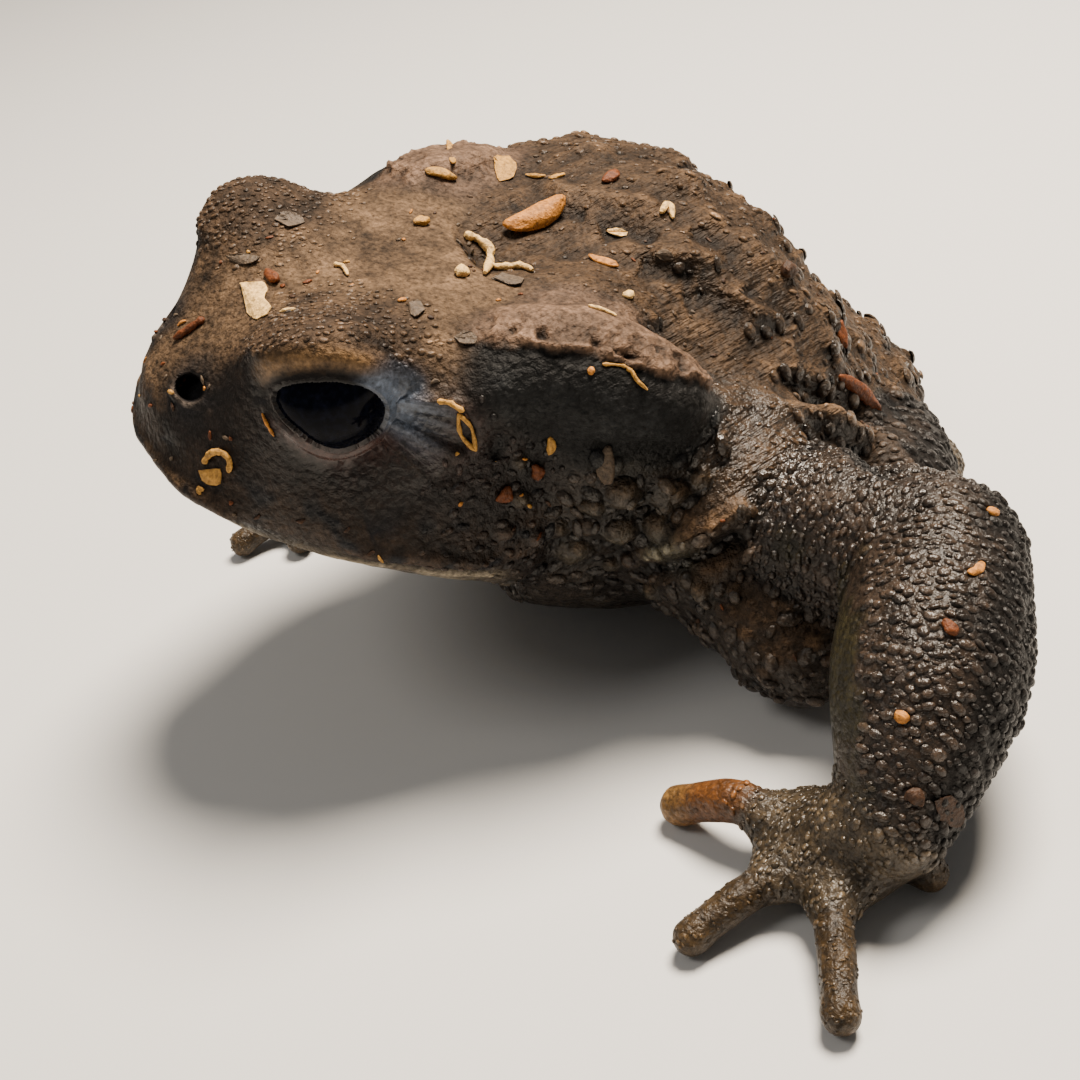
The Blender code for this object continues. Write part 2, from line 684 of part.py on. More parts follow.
def make_leg(model, leg, side, heading):
    name = side_name(side)
    thigh, knee, shank, heel, root = (leg[key] for key in ("thigh", "knee", "shank", "heel", "tarsus"))
    ahead = math.radians(heading)
    sole = (root[0] + math.sin(ahead) * FOOT_REACH, root[1] + math.cos(ahead) * FOOT_REACH, 2.0)
    at_knee = (thigh, knee, shank)
    at_heel = (shank, heel, root)
    at_foot = (heel, root, sole)
    make_limb_piece(model, "thigh", side, (leg["hip"], thigh, knee), THIGH_RADII, end=at_knee)
    make_limb_piece(model, "shank", side, (knee, shank, heel), SHANK_RADII, at_knee, at_heel)
    ankle = between(heel, root, 0.5)
    make_limb_piece(model, "tarsus", side, (heel, ankle, root), TARSUS_RADII, at_heel, at_foot)
    tips = []
    for spread, length in TOES:
        angle = ahead - math.radians(spread) * side
        tips.append((sole[0] + math.sin(angle) * length, sole[1] + math.cos(angle) * length, 1.1))
    bm = bmesh.new()
    ball(bm, spot(sole), FOOT_SIZE, flat_turn(root, sole))
    tube(bm, [spot(root), spot(sole)], ANKLE_RADII)
    for tip in tips:
        tube(bm, [spot(sole), spot(between(sole, tip, 0.35))], (1.8, 1.4))
    foot = new_object("foot_" + name, bm)
    soften(foot, 0.45, 3, BUDGET["foot"])
    part_at_joints(foot, start=at_foot)
    model.add(foot, skin_material(SKIN_SIDE))
    for number, tip in enumerate(tips, 1):
        make_digit(model, "toe_%s_%d" % (name, number), "toe", sole, tip, TOE_RADII, 0.28, DIGIT_LIFTS)


def centre_on_floor(objects):
    """Moves everything so that the middle of the footprint of its box is the origin."""
    boxes = [box_of(obj) for obj in objects]
    low = [min(box[0][i] for box in boxes) for i in range(2)]
    high = [max(box[1][i] for box in boxes) for i in range(2)]
    shift = Matrix.Translation((-(low[0] + high[0]) / 2, -(low[1] + high[1]) / 2, 0.0))
    for obj in objects:
        obj.data.transform(shift)


def main():
    for obj in list(bpy.data.objects):
        bpy.data.objects.remove(obj)
    model = Model()
    for side in (1, -1):
        make_eye(model, side)
    for side in (1, -1):
        make_parotoid(model, side)
    make_head(model)
    make_trunk(model)
    make_arm(model, LEFT_ARM, 1, LEFT_FINGER_TIPS)
    make_arm(model, RIGHT_ARM, -1, RIGHT_FINGER_TIPS)
    make_leg(model, LEFT_LEG, 1, LEFT_TOE_HEADING)
    make_leg(model, RIGHT_LEG, -1, RIGHT_TOE_HEADING)
    centre_on_floor(model.nodes)
    toad = bpy.data.collections.new("asiatic_toad")
    bpy.context.scene.collection.children.link(toad)
    for obj in model.nodes:
        bpy.context.scene.collection.objects.unlink(obj)
        toad.objects.link(obj)


if __name__ == "__main__":
    main()
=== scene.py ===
"""The skin, eyes and finish of a life-size Asiatic toad, modelled around its solids.

Lengths are in millimetres unless a line says metres. body_spot() takes (left, forward, up) from the floor
point under the head, and head_spot() takes the same from the middle of the head, in the head's own frame.
"""

import json
import math
import random

import bmesh
import bpy
import numpy as np
from mathutils import Matrix, Vector
from mathutils.bvhtree import BVHTree

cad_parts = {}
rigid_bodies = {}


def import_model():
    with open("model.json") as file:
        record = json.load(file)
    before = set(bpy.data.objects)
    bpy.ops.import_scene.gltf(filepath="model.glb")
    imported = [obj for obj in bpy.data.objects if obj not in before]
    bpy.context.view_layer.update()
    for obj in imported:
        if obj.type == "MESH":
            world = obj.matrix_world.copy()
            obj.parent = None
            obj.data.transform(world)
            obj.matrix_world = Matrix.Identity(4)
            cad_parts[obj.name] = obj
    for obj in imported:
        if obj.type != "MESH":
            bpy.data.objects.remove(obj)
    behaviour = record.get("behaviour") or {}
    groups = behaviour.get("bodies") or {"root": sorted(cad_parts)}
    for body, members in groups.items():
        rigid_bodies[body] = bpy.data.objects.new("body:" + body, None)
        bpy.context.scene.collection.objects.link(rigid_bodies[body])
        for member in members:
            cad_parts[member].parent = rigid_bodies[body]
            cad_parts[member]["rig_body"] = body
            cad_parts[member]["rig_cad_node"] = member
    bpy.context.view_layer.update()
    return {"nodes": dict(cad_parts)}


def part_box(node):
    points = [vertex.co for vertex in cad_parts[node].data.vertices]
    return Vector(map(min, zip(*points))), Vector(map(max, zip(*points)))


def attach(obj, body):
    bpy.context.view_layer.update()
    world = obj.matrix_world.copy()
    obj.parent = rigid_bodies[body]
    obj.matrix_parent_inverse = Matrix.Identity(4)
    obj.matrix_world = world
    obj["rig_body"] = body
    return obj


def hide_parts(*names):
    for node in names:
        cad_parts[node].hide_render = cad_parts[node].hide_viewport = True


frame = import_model()

MM = 0.001

# The head's lean, and the left eye in the head's own frame
HEAD_YAW = 20.0
HEAD_PITCH = 7.2
HEAD_ROLL = -10.0
HEAD_HEIGHT = 22.8
EYE = (9.3, -0.2, 7.6)
# The edge of the lids on the eyeball: degrees forward and degrees up from straight out
LID_EDGE = (
    (74.1, 11.9), (71.9, 25.0), (47.6, 38.9), (11.9, 42.8), (-15.6, 35.7), (-31.8, 24.2), (-42.5, 6.6),
    (-44.8, -5.7), (-39.3, -22.0), (-17.1, -29.3), (9.2, -34.5), (31.0, -20.9), (45.5, -7.3), (62.8, 2.1),
)
SOLID_NOSTRIL = (4.3, 7.5, 5.4)
SOLID_NOSTRIL_RIM = 1.15
MOUTH_LINE = ((10.6, 0.15), (7.4, -0.75), (1.5, -1.75), (-3.5, -2.9), (-8.4, -4.2))

# The camera, from the floor point under the head
CAMERA_AZIMUTH = 55.53
CAMERA_ELEVATION = 32.52
CAMERA_ROLL = -10.88
CAMERA_DISTANCE = 123.81
CAMERA_ASIDE = (13.01, 9.76)
CAMERA_ANGLE = 37.33
PHOTO_SIDE = 1080

# The skin's mesh
SKIN_REACH = 0.30
SKIN_SETTLE = 0.24
DIGIT_SETTLE = 0.26
SKIN_VOXEL = 0.28
SKIN_TRIANGLES = 190000
FLOOR_CLEARANCE = 0.01
LID_STAND = 0.28
EYEBALL_COVER = 0.35
FACET_ROUNDS = 50
JOIN_ROUNDS = (("parotoid", 110), ("trunk", 60))
BEHIND_EYE_ROUNDS = 260

# How far from the middle of an eyeball, or of a nostril, each of these reaches or starts
AROUND_EYE = 11.0
LIDS_FORMED = 8.4
LIDS_PAINTED = 8.5
LIDS_REFINED = 6.0
NOSTRIL_REFINED = 2.2
GRANULES_START = (6.4, 7.2)
CRUMBS_START = 6.2


def spot(point):
    left, forward, up = point
    return Vector((left, -forward, up)) * MM


def head_turn():
    yaw = Matrix.Rotation(math.radians(HEAD_YAW), 3, "Z")
    pitch = Matrix.Rotation(math.radians(HEAD_PITCH), 3, "X")
    roll = Matrix.Rotation(math.radians(-HEAD_ROLL), 3, "Y")
    return yaw @ pitch @ roll


def middle(node):
    low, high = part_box(node)
    return (low + high) / 2


HEAD_TURN = head_turn()
BETWEEN_EYES = (middle("eye_left") + middle("eye_right")) / 2
HEAD_ORIGIN = BETWEEN_EYES - spot(HEAD_TURN @ Vector((0.0, EYE[1], EYE[2])))
BODY_ORIGIN = HEAD_ORIGIN - Vector((0.0, 0.0, HEAD_HEIGHT * MM))
EYE_RADIUS = (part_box("eye_left")[1].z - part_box("eye_left")[0].z) / 2 / MM


def body_spot(point):
    return BODY_ORIGIN + spot(point)


def head_spot(point):
    return HEAD_ORIGIN + spot(HEAD_TURN @ Vector(point))


def in_body(places):
    """Places in metres, as (left, forward, up) millimetres from the floor point under the head."""
    found = (places - np.array(BODY_ORIGIN)) / MM
    found[:, 1] *= -1
    return found


def in_head(places):
    """Places in metres, in the head's own frame, in millimetres."""
    found = (places - np.array(HEAD_ORIGIN)) / MM
    found[:, 1] *= -1
    return found @ np.array(HEAD_TURN)


def eye_centre(side):
    """The middle of an eyeball in the head's frame: side is 1 for the left and -1 for the right."""
    return np.array((EYE[0] * side, EYE[1], EYE[2]))


def from_eye(head, side):
    return np.linalg.norm(head - eye_centre(side), axis=1)


class View:
    """The camera's place and the line of sight through each pixel of the photo's frame."""

    def __init__(self):
        azimuth = math.radians(CAMERA_AZIMUTH)
        elevation = math.radians(CAMERA_ELEVATION)
        roll = math.radians(CAMERA_ROLL)
        level = math.cos(elevation)
        self.back = Vector((math.sin(azimuth) * level, -math.cos(azimuth) * level, math.sin(elevation)))
        right = Vector((math.cos(azimuth), math.sin(azimuth), 0.0))
        up = self.back.cross(right)
        self.right = math.cos(roll) * right + math.sin(roll) * up
        self.up = math.cos(roll) * up - math.sin(roll) * right
        aside = CAMERA_ASIDE[0] * self.right + CAMERA_ASIDE[1] * self.up
        self.place = BODY_ORIGIN + (aside + CAMERA_DISTANCE * self.back) * MM
        self.focal = PHOTO_SIDE / 2 / math.tan(math.radians(CAMERA_ANGLE) / 2)

    def sight(self, pixel):
        x = float(pixel[0] - PHOTO_SIDE / 2) / self.focal
        y = float(PHOTO_SIDE / 2 - pixel[1]) / self.focal
        return (x * self.right + y * self.up - self.back).normalized()

    def pixels(self, places):
        """The pixel at which each place, in metres, is seen."""
        away = places - np.array(self.place)
        depth = -(away @ np.array(self.back))
        x = away @ np.array(self.right) / depth * self.focal
        y = away @ np.array(self.up) / depth * self.focal
        return PHOTO_SIDE / 2 + x, PHOTO_SIDE / 2 - y

    def matrix(self):
        turn = Matrix((self.right, self.up, self.back)).transposed()
        return Matrix.Translation(self.place) @ turn.to_4x4()


VIEW = View()


def select_only(*objects):
    bpy.ops.object.select_all(action="DESELECT")
    for obj in objects:
        obj.select_set(True)
    bpy.context.view_layer.objects.active = objects[0]


def modify(obj, kind, **settings):
    """Adds a modifier, sets it and applies it."""
    select_only(obj)
    modifier = obj.modifiers.new(kind.title(), kind)
    for key, value in settings.items():
        setattr(modifier, key, value)
    bpy.ops.object.modifier_apply(modifier=modifier.name)


def points_of(obj):
    found = np.empty(len(obj.data.vertices) * 3, np.float64)
    obj.data.vertices.foreach_get("co", found)
    return found.reshape(-1, 3)


def normals_of(obj):
    found = np.empty(len(obj.data.vertices) * 3, np.float64)
    obj.data.vertices.foreach_get("normal", found)
    return found.reshape(-1, 3)


def edges_of(obj):
    found = np.empty(len(obj.data.edges) * 2, np.int64)
    obj.data.edges.foreach_get("vertices", found)
    return found.reshape(-1, 2)


def move_points(obj, places):
    obj.data.vertices.foreach_set("co", places.ravel())
    obj.data.update()


def spread(values, edges, rounds, share=0.5):
    """Averages a value over each point's neighbours, by a share that may differ from point to point."""
    count = len(values)
    degree = np.maximum(np.bincount(edges.ravel(), minlength=count), 1)
    first, second = edges.T
    found = values.copy()
    columns = found.reshape(count, -1)
    for _ in range(rounds):
        for k in range(columns.shape[1]):
            column = columns[:, k]
            total = np.bincount(first, column[second], count) + np.bincount(second, column[first], count)
            columns[:, k] = column + share * (total / degree - column)
    return found


def spread_part(values, edges, rounds, share):
    """The same for the few points whose share is above zero, which is quicker."""
    touched = spread((share > 0).astype(float), edges, 1) > 0
    chosen = np.flatnonzero(touched)
    number = np.full(len(values), -1)
    number[chosen] = np.arange(len(chosen))
    inner = number[edges[touched[edges].all(axis=1)]]
    found = values.copy()
    found[chosen] = spread(values[chosen], inner, rounds, share[chosen])
    return found


def corner_value(cell, seed):
    """A repeatable number from 0 to 1 for each corner of a unit grid."""
    x, y, z = cell.T
    mixed = (x * 374761393 + y * 668265263 + z * 1440670441 + seed * 974634777) & 0xFFFFFFFF
    mixed = ((mixed ^ (mixed >> 13)) * 1274126177) & 0xFFFFFFFF
    return (mixed ^ (mixed >> 16)) / 0xFFFFFFFF


def noise(places, size, seed):
    """Soft noise from -1 to 1 whose grains are size millimetres across, which may differ by direction."""
    scaled = places / np.array(size)
    cell = np.floor(scaled).astype(np.int64)
    part = scaled - cell
    part = part * part * (3 - 2 * part)
    total = np.zeros(len(places))
    for corner in range(8):
        step = np.array([corner & 1, corner >> 1 & 1, corner >> 2 & 1])
        weight = np.where(step, part, 1 - part).prod(axis=1)
        total += weight * corner_value(cell + step, seed)
    return total * 2 - 1


def layers(places, size, seed, rounds=3):
    """Noise with finer grains added at half the height each round."""
    total = np.zeros(len(places))
    scale = np.array(size, float)
    for k in range(rounds):
        total += noise(places, scale, seed + k * 17) / 2 ** k
        scale = scale / 2.1
    return total


def to_line(places, line):
    """The distance of each place from a line of points, and how far along it lies, from 0 to 1."""
    best = np.full(len(places), 1e9)
    along = np.zeros(len(places))
    line = np.array([tuple(p) for p in line], float)
    steps = len(line) - 1
    for k in range(steps):
        a, b = line[k], line[k + 1]
        run = b - a
        t = np.clip((places - a) @ run / max(run @ run, 1e-12), 0, 1)
        gap = np.linalg.norm(places - a - t[:, None] * run, axis=1)
        closer = gap < best
        best[closer] = gap[closer]
        along[closer] = (k + t[closer]) / steps
    return best, along


def hump(distance, width):
    """1 on the line, falling softly to 0 at about twice the width."""
    return np.exp(-(distance / width) ** 2)


def ramp(value, low, high):
    """0 below low, 1 above high, and a soft step between."""
    t = np.clip((value - low) / (high - low), 0, 1)
    return t * t * (3 - 2 * t)


def blend(first, second, share):
    return first + (np.array(second) - first) * share[:, None]


def curve_through(points, steps=6):
    """Catmull-Rom points between the given ones."""
    found = []
    last = len(points) - 1
    for i in range(last):
        a, b, c, d = (np.array(points[k], float) for k in (max(i - 1, 0), i, i + 1, min(i + 2, last)))
        for k in range(steps):
            t = k / steps
            bend = 2 * b + (c - a) * t + (2 * a - 5 * b + 4 * c - d) * t * t
            found.append((bend + (3 * b - a - 3 * c + d) * t ** 3) / 2)
    found.append(np.array(points[-1], float))
    return found


class Surface:
    """A mesh to look up: the point under a pixel, the nearest point, and its face's normal."""

    def __init__(self, objects):
        vertices = []
        faces = []
        self.names = []
        for obj in objects:
            start = len(vertices)
            vertices += [v.co.copy() for v in obj.data.vertices]
            for polygon in obj.data.polygons:
                faces.append([start + v for v in polygon.vertices])
                self.names.append(obj.name)
        self.tree = BVHTree.FromPolygons(vertices, faces)

    def under(self, pixel):
        """The place seen at a pixel and the surface's normal there."""
        place, normal, _, _ = self.tree.ray_cast(VIEW.place, VIEW.sight(pixel))
        return place, normal

    def line(self, pixels):
        """Pixels of the photo's frame laid on the surface as a curve of places, in metres."""
        places = [self.under(pixel)[0] for pixel in curve_through(pixels, 4)]
        return np.array([place for place in places if place is not None])

    def name_near(self, place):
        return self.names[self.tree.find_nearest(place)[2]]


FLESH = sorted(name for name in frame["nodes"] if not name.startswith("eye_"))
SOLIDS = Surface([frame["nodes"][name] for name in FLESH])


def from_pixel(places, pixel):
    """How far each place, in metres, is from what the solids show at a pixel, in millimetres."""
    return np.linalg.norm(places - np.array(SOLIDS.under(pixel)[0]), axis=1) / MM


def gather_flesh():
    """One mesh of all the flesh, each node pushed out so that the gaps between them close."""
    bpy.ops.object.select_all(action="DESELECT")
    for name in FLESH:
        frame["nodes"][name].select_set(True)
    bpy.context.view_layer.objects.active = frame["nodes"][FLESH[0]]
    bpy.ops.object.duplicate()
    copies = list(bpy.context.selected_objects)
    bpy.context.view_layer.objects.active = copies[0]
    bpy.ops.object.parent_clear(type="CLEAR_KEEP_TRANSFORM")
    bpy.ops.object.join()
    skin = bpy.context.view_layer.objects.active
    skin.name = "toad_skin"
    skin.data.name = "toad_skin"
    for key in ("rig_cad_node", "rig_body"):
        if key in skin:
            del skin[key]
    skin.data.materials.clear()
    bpy.ops.object.mode_set(mode="EDIT")
    bpy.ops.mesh.select_all(action="SELECT")
    bpy.ops.mesh.remove_doubles(threshold=0.00001)
    bpy.ops.object.mode_set(mode="OBJECT")
    modify(skin, "DISPLACE", strength=SKIN_REACH * MM, mid_level=0.0)
    return skin


def add_ball(place, sizes, name):
    """An egg shape with half sizes in millimetres along the head's left, back and up."""
    bpy.ops.object.select_all(action="DESELECT")
    bpy.ops.mesh.primitive_uv_sphere_add(segments=48, ring_count=24, radius=1.0)
    ball = bpy.context.object
    ball.name = name
    axes = [spot(HEAD_TURN @ Vector(a)).normalized() for a in ((1, 0, 0), (0, -1, 0), (0, 0, 1))]
    turn = Matrix(axes).transposed().to_4x4()
    ball.data.transform(Matrix.Translation(place) @ turn @ Matrix.Diagonal((*[s * MM for s in sizes], 1.0)))
    return ball


# Forms on both sides that fill the solids' steps and pits before the skin is drawn: centre and half sizes
FILLERS = (
    (EYE, (EYE_RADIUS + LID_STAND,) * 3),
    (SOLID_NOSTRIL, (SOLID_NOSTRIL_RIM,) * 3),
    ((6.6, -15.2, 7.8), (5.8, 8.2, 3.0)),
    ((11.6, -10.6, 7.4), (4.2, 5.6, 3.4)),
)


# Balls that carry the neck out to the underside of the left gland: centre and radius
NECK_FILL = (
    ((14.9, -7.3, 23.0), 3.7), ((16.4, -9.0, 21.4), 4.0), ((18.2, -10.8, 20.4), 4.1),
    ((19.5, -12.8, 19.8), 4.1), ((20.4, -15.2, 19.2), 4.0), ((20.7, -17.4, 19.4), 3.7),
)


def fuse(skin):
    """Joins the filling forms to the flesh, and makes one closed skin of it all."""
    extras = [add_ball(body_spot(centre), (radius,) * 3, "filler") for centre, radius in NECK_FILL]
    for centre, sizes in FILLERS:
        for side in (1, -1):
            extras.append(add_ball(head_spot((centre[0] * side, centre[1], centre[2])), sizes, "filler"))
    select_only(skin, *extras)
    bpy.ops.object.join()
    modify(skin, "REMESH", mode="VOXEL", voxel_size=SKIN_VOXEL * MM, adaptivity=0.0)
    bm = bmesh.new()
    bm.from_mesh(skin.data)
    keep_largest(bm)
    bm.to_mesh(skin.data)
    bm.free()


def keep_largest(bm):
    """Removes all but the largest connected surface."""
    left = set(bm.verts)
    groups = []
    while left:
        stack = [left.pop()]
        group = set(stack)
        while stack:
            for edge in stack.pop().link_edges:
                for vertex in edge.verts:
                    if vertex in left:
                        left.remove(vertex)
                        group.add(vertex)
                        stack.append(vertex)
        groups.append(group)
    groups.sort(key=len, reverse=True)
    for group in groups[1:]:
        bmesh.ops.delete(bm, geom=list(group), context="VERTS")


def zones_of(places):
    """For each place, which body part it lies on, as a mask for each kind."""
    names = [SOLIDS.name_near(place) for place in places]
    kinds = [name.rsplit("_left", 1)[0].rsplit("_right", 1)[0] for name in names]
    found = {kind: np.array([k == kind for k in kinds], float) for kind in set(kinds)}
    found["left"] = np.array(["left" in name for name in names], float)
    found["first_finger"] = np.array([name == "finger_left_1" for name in names], float)
    return found


def soft_zones(zones, edges, rounds=10):
    return {kind: spread(mask, edges, rounds) for kind, mask in zones.items()}


def together(zones, *kinds):
    return np.clip(sum(zones[kind] for kind in kinds), 0, 1)


class EyeField:
    """Places around one eye: how far from its centre, which way, and how far outside the edge of the lids."""

    def __init__(self, head, side):
        away = head - eye_centre(side)
        away[:, 0] *= side
        self.reach = np.linalg.norm(away, axis=1)
        self.way = away / self.reach[:, None]
        turn = np.arctan2(self.way[:, 1], self.way[:, 0])
        rise = np.arcsin(np.clip(self.way[:, 2], -1, 1))
        flat = np.stack([turn, rise], axis=1) * EYE_RADIUS
        edge = np.radians(curve_through(LID_EDGE + LID_EDGE[:1], 4)) * EYE_RADIUS
        distance, _ = to_line(flat, edge)
        inside = np.zeros(len(flat), bool)
        for (x1, y1), (x2, y2) in zip(edge, edge[1:]):
            crosses = (y1 > flat[:, 1]) != (y2 > flat[:, 1])
            level = y2 - y1 if abs(y2 - y1) > 1e-9 else 1e-9
            inside ^= crosses & (flat[:, 0] < (x2 - x1) * (flat[:, 1] - y1) / level + x1)
        self.outside = np.where(inside, -distance, distance)
        self.above = ramp(self.way[:, 2], 0.25, 0.60)
        self.below = ramp(-self.way[:, 2], -0.05, 0.30)
        self.behind = ramp(-self.way[:, 1], 0.25, 0.60)


def refine_face(skin):
    """Gives the lids and the nostrils four times as many faces as the rest."""
    bm = bmesh.new()
    bm.from_mesh(skin.data)
    chosen = []
    centres = []
    for side in (1, -1):
        centres.append((head_spot(eye_centre(side)), LIDS_REFINED * MM))
        nostril = face_place(NOSTRIL_PIXEL)
        centres.append((head_spot((nostril[0] * side, nostril[1], nostril[2])), NOSTRIL_REFINED * MM))
    for edge in bm.edges:
        if any((vertex.co - centre).length < reach for vertex in edge.verts for centre, reach in centres):
            chosen.append(edge)
    bmesh.ops.subdivide_edges(bm, edges=chosen, cuts=1, use_grid_fill=True)
    bm.to_mesh(skin.data)
    bm.free()


def shape_lids(places):
    """Lids that close round the eyeball: a thin edge, a full band above it and small folds below it."""
    head = in_head(places)
    around = np.zeros(len(places))
    for side in (1, -1):
        near = np.flatnonzero(from_eye(head, side) < AROUND_EYE)
        field = EyeField(head[near], side)
        out = field.outside
        soft = ramp(out, 0.7, 1.3) * (1 - ramp(out, 4.5, 6.5)) * (1 - ramp(field.reach, 9.0, AROUND_EYE))
        around[near] = soft * (1 - 0.8 * field.above)
        closed = EYE_RADIUS + LID_STAND + 0.45 * ramp(out, 0.0, 1.4)
        close = 1 - ramp(field.reach - 1.8 * (1 - ramp(out, 0.0, 1.8)), 6.3, 7.8)
        share = (1 - ramp(out, 0.5, 2.2)) * close
        reach = field.reach + (closed - field.reach) * share
        lift = field.above * (0.30 * hump(out - 1.10, 0.70) - 0.10 * hump(out - 2.30, 0.45))
        folds = 0.14 * hump(out - 0.40, 0.25) - 0.16 * hump(out - 0.90, 0.22) + 0.12 * hump(out - 1.4, 0.3)
        lift += field.below * folds
        lift += field.behind * (1 - field.above) * 0.12 * hump(out - 1.0, 0.5)
        reach = np.where(out < -0.06, EYE_RADIUS - EYEBALL_COVER, reach + lift)
        centre = np.array(head_spot(eye_centre(side)))
        away = places[near] - centre
        outward = field.reach < LIDS_FORMED
        moved = centre + away / np.linalg.norm(away, axis=1)[:, None] * reach[:, None] * MM
        places[near[outward]] = moved[outward]
    return places, around


# Folds of the skin as the photo shows them: pixels along each, height (negative for a hollow) and width
FOLDS = (
    (((752, 408), (805, 410), (855, 430), (911, 463)), 0.8, 1.1),
    (((800, 432), (850, 447), (900, 474)), -0.75, 1.2),
    (((755, 376), (792, 370), (828, 388)), 0.6, 1.0),
    (((772, 394), (800, 401), (830, 406)), -0.40, 0.8),
    (((635, 558), (664, 547), (693, 538), (726, 520), (752, 503)), 0.8, 0.9),
    (((640, 577), (700, 562), (745, 532)), -0.7, 0.9),
    (((486, 226), (503, 220), (522, 212)), -0.6, 0.9),
    (((540, 206), (562, 214), (588, 216)), -0.35, 0.9),
    (((598, 231), (626, 230), (658, 241)), -0.5, 1.1),
    (((640, 262), (665, 268), (697, 285)), -0.55, 1.2),
    (((682, 300), (712, 303), (750, 319)), -0.55, 1.4),
    (((688, 231), (714, 241), (740, 257)), -0.5, 1.2),
    (((745, 285), (770, 300), (796, 322)), -0.45, 1.2),
    (((655, 294), (678, 288), (700, 290)), 0.35, 0.8),
    (((560, 300), (620, 300), (680, 318)), 0.3, 0.8),
    (((520, 262), (580, 276), (640, 290)), 0.3, 0.9),
    (((540, 185), (600, 196), (660, 205)), 0.35, 0.9),
    (((620, 246), (680, 254), (720, 270)), 0.35, 0.8),
    (((700, 284), (745, 297), (790, 330)), 0.3, 0.7),
    (((600, 425), (650, 432), (700, 440)), 0.3, 0.7),
    (((590, 440), (640, 450), (700, 462)), -0.25, 0.5),
    (((478, 372), (492, 400), (497, 430), (492, 462)), -0.5, 0.6),
    (((500, 395), (512, 425), (512, 455)), 0.35, 0.7),
)
# Large warts of the neck: pixel and radius
NECK_WARTS = (
    ((622, 488), 1.5), ((666, 488), 1.6), ((620, 532), 1.4), ((658, 524), 1.2), ((574, 548), 1.6),
    ((594, 505), 0.9), ((545, 470), 0.7), ((520, 462), 0.6), ((552, 500), 0.75), ((520, 500), 0.7),
    ((560, 525), 0.7), ((586, 470), 0.75), ((700, 478), 0.9), ((536, 436), 0.55), ((505, 400), 0.6),
    ((540, 540), 0.8), ((506, 532), 0.7), ((610, 565), 0.8), ((700, 590), 0.9), ((650, 592), 0.8),
)
# The same for the face, which has them on both sides
FACE_FOLDS = (
    (((262, 352), (300, 338), (340, 331), (385, 331), (430, 336), (455, 341)), 0.28, 0.5),
    (((200, 368), (226, 355), (256, 350)), 0.30, 0.6),
    (((214, 400), (236, 404), (258, 412)), -0.35, 0.8),
    (((420, 352), (432, 380), (436, 410)), -0.25, 0.5),
    (((395, 470), (430, 480), (470, 478)), -0.20, 0.5),
)
GLAND_SHELF = ((455, 343), (500, 345), (550, 349), (600, 354), (650, 366), (705, 388))
NOSTRIL_PIXEL = (190, 388)
NOSTRIL_RADIUS = 0.92
NOSTRIL_DEPTH = 1.7
NOSTRIL_REACH = 2.4
EARDRUM_PIXEL = (457, 430)
WET_PIXEL = (755, 435)
NECK_PATCHES = (((640, 430), 4.5), ((670, 555), 2.6))


def fold_relief(places):
    total = np.zeros(len(places))
    for pixels, height, width in FOLDS:
        distance, along = to_line(places / MM, SOLIDS.line(pixels) / MM)
        ends = ramp(along, -0.05, 0.18) * (1 - ramp(along, 0.82, 1.05))
        total += height * hump(distance, width) * ends
    return total


def folded(head):
    """Places of the head's frame with the right side laid over the left."""
    found = head.copy()
    found[:, 0] = np.abs(found[:, 0])
    return found


def face_place(pixel):
    return folded(in_head(np.array([SOLIDS.under(pixel)[0]])))[0]


def mouth_height(head):
    """How far above the line of the mouth each place lies."""
    forward = [place[0] for place in reversed(MOUTH_LINE)]
    level = [place[1] for place in reversed(MOUTH_LINE)]
    return head[:, 2] - np.interp(head[:, 1], forward, level)


def head_relief(places):
    """The carving of the face, in millimetres along the normal, alike on both sides."""
    head = in_head(places)
    side = folded(head)
    total = np.zeros(len(places))
    for pixels, height, width in FACE_FOLDS:
        distance, along = to_line(side, folded(in_head(SOLIDS.line(pixels))))
        total += height * hump(distance, width) * ramp(along, -0.05, 0.15) * (1 - ramp(along, 0.85, 1.05))
    aside, away, low = nostril_field(head)
    total += (0.06 + 0.12 * low) * hump(aside - NOSTRIL_RADIUS - 0.24, 0.18) * (away < NOSTRIL_REACH)
    above = mouth_height(head)
    on_mouth = ramp(head[:, 1], -9.2, -7.8) * (np.abs(above) < 3)
    lips = 0.30 * hump(above - 0.75, 0.45) - 0.55 * hump(above + 0.05, 0.24) + 0.2 * hump(above + 0.7, 0.4)
    total += on_mouth * lips
    ring = np.linalg.norm((side - face_place(EARDRUM_PIXEL)) / np.array((2.0, 1.5, 1.8)), axis=1)
    total += 0.16 * hump(ring - 1.0, 0.22) - 0.12 * (1 - ramp(ring, 0.5, 0.9))
    return total


def nostril_axis():
    """The way in which the left nostril opens, in the head's frame."""
    sight = VIEW.sight(NOSTRIL_PIXEL)
    return np.array((-sight.x, sight.y, -sight.z)) @ np.array(HEAD_TURN)


def nostril_field(head):
    """How far each place lies from the nostril's axis and centre, and whether it lies below it."""
    away = folded(head) - face_place(NOSTRIL_PIXEL)
    axis = nostril_axis()
    aside = np.linalg.norm(away - (away @ axis)[:, None] * axis, axis=1)
    return aside, np.linalg.norm(away, axis=1), ramp(-away[:, 2], 0.2, 0.9)


def bore_nostrils(places):
    """Sinks the two nostrils along their axes."""
    head = in_head(places)
    aside, away, _ = nostril_field(head)
    bore = 1 - ramp(aside, NOSTRIL_RADIUS - 0.22, NOSTRIL_RADIUS + 0.06)
    depth = NOSTRIL_DEPTH * bore * (away < NOSTRIL_REACH)
    axis = nostril_axis()
    sign = np.sign(head[:, 0])
    step = np.stack([sign * axis[0], np.full(len(head), axis[1]), np.full(len(head), axis[2])], axis=1)
    moved = (step * depth[:, None]) @ np.array(HEAD_TURN).T
    moved[:, 1] *= -1
    return places - moved * MM


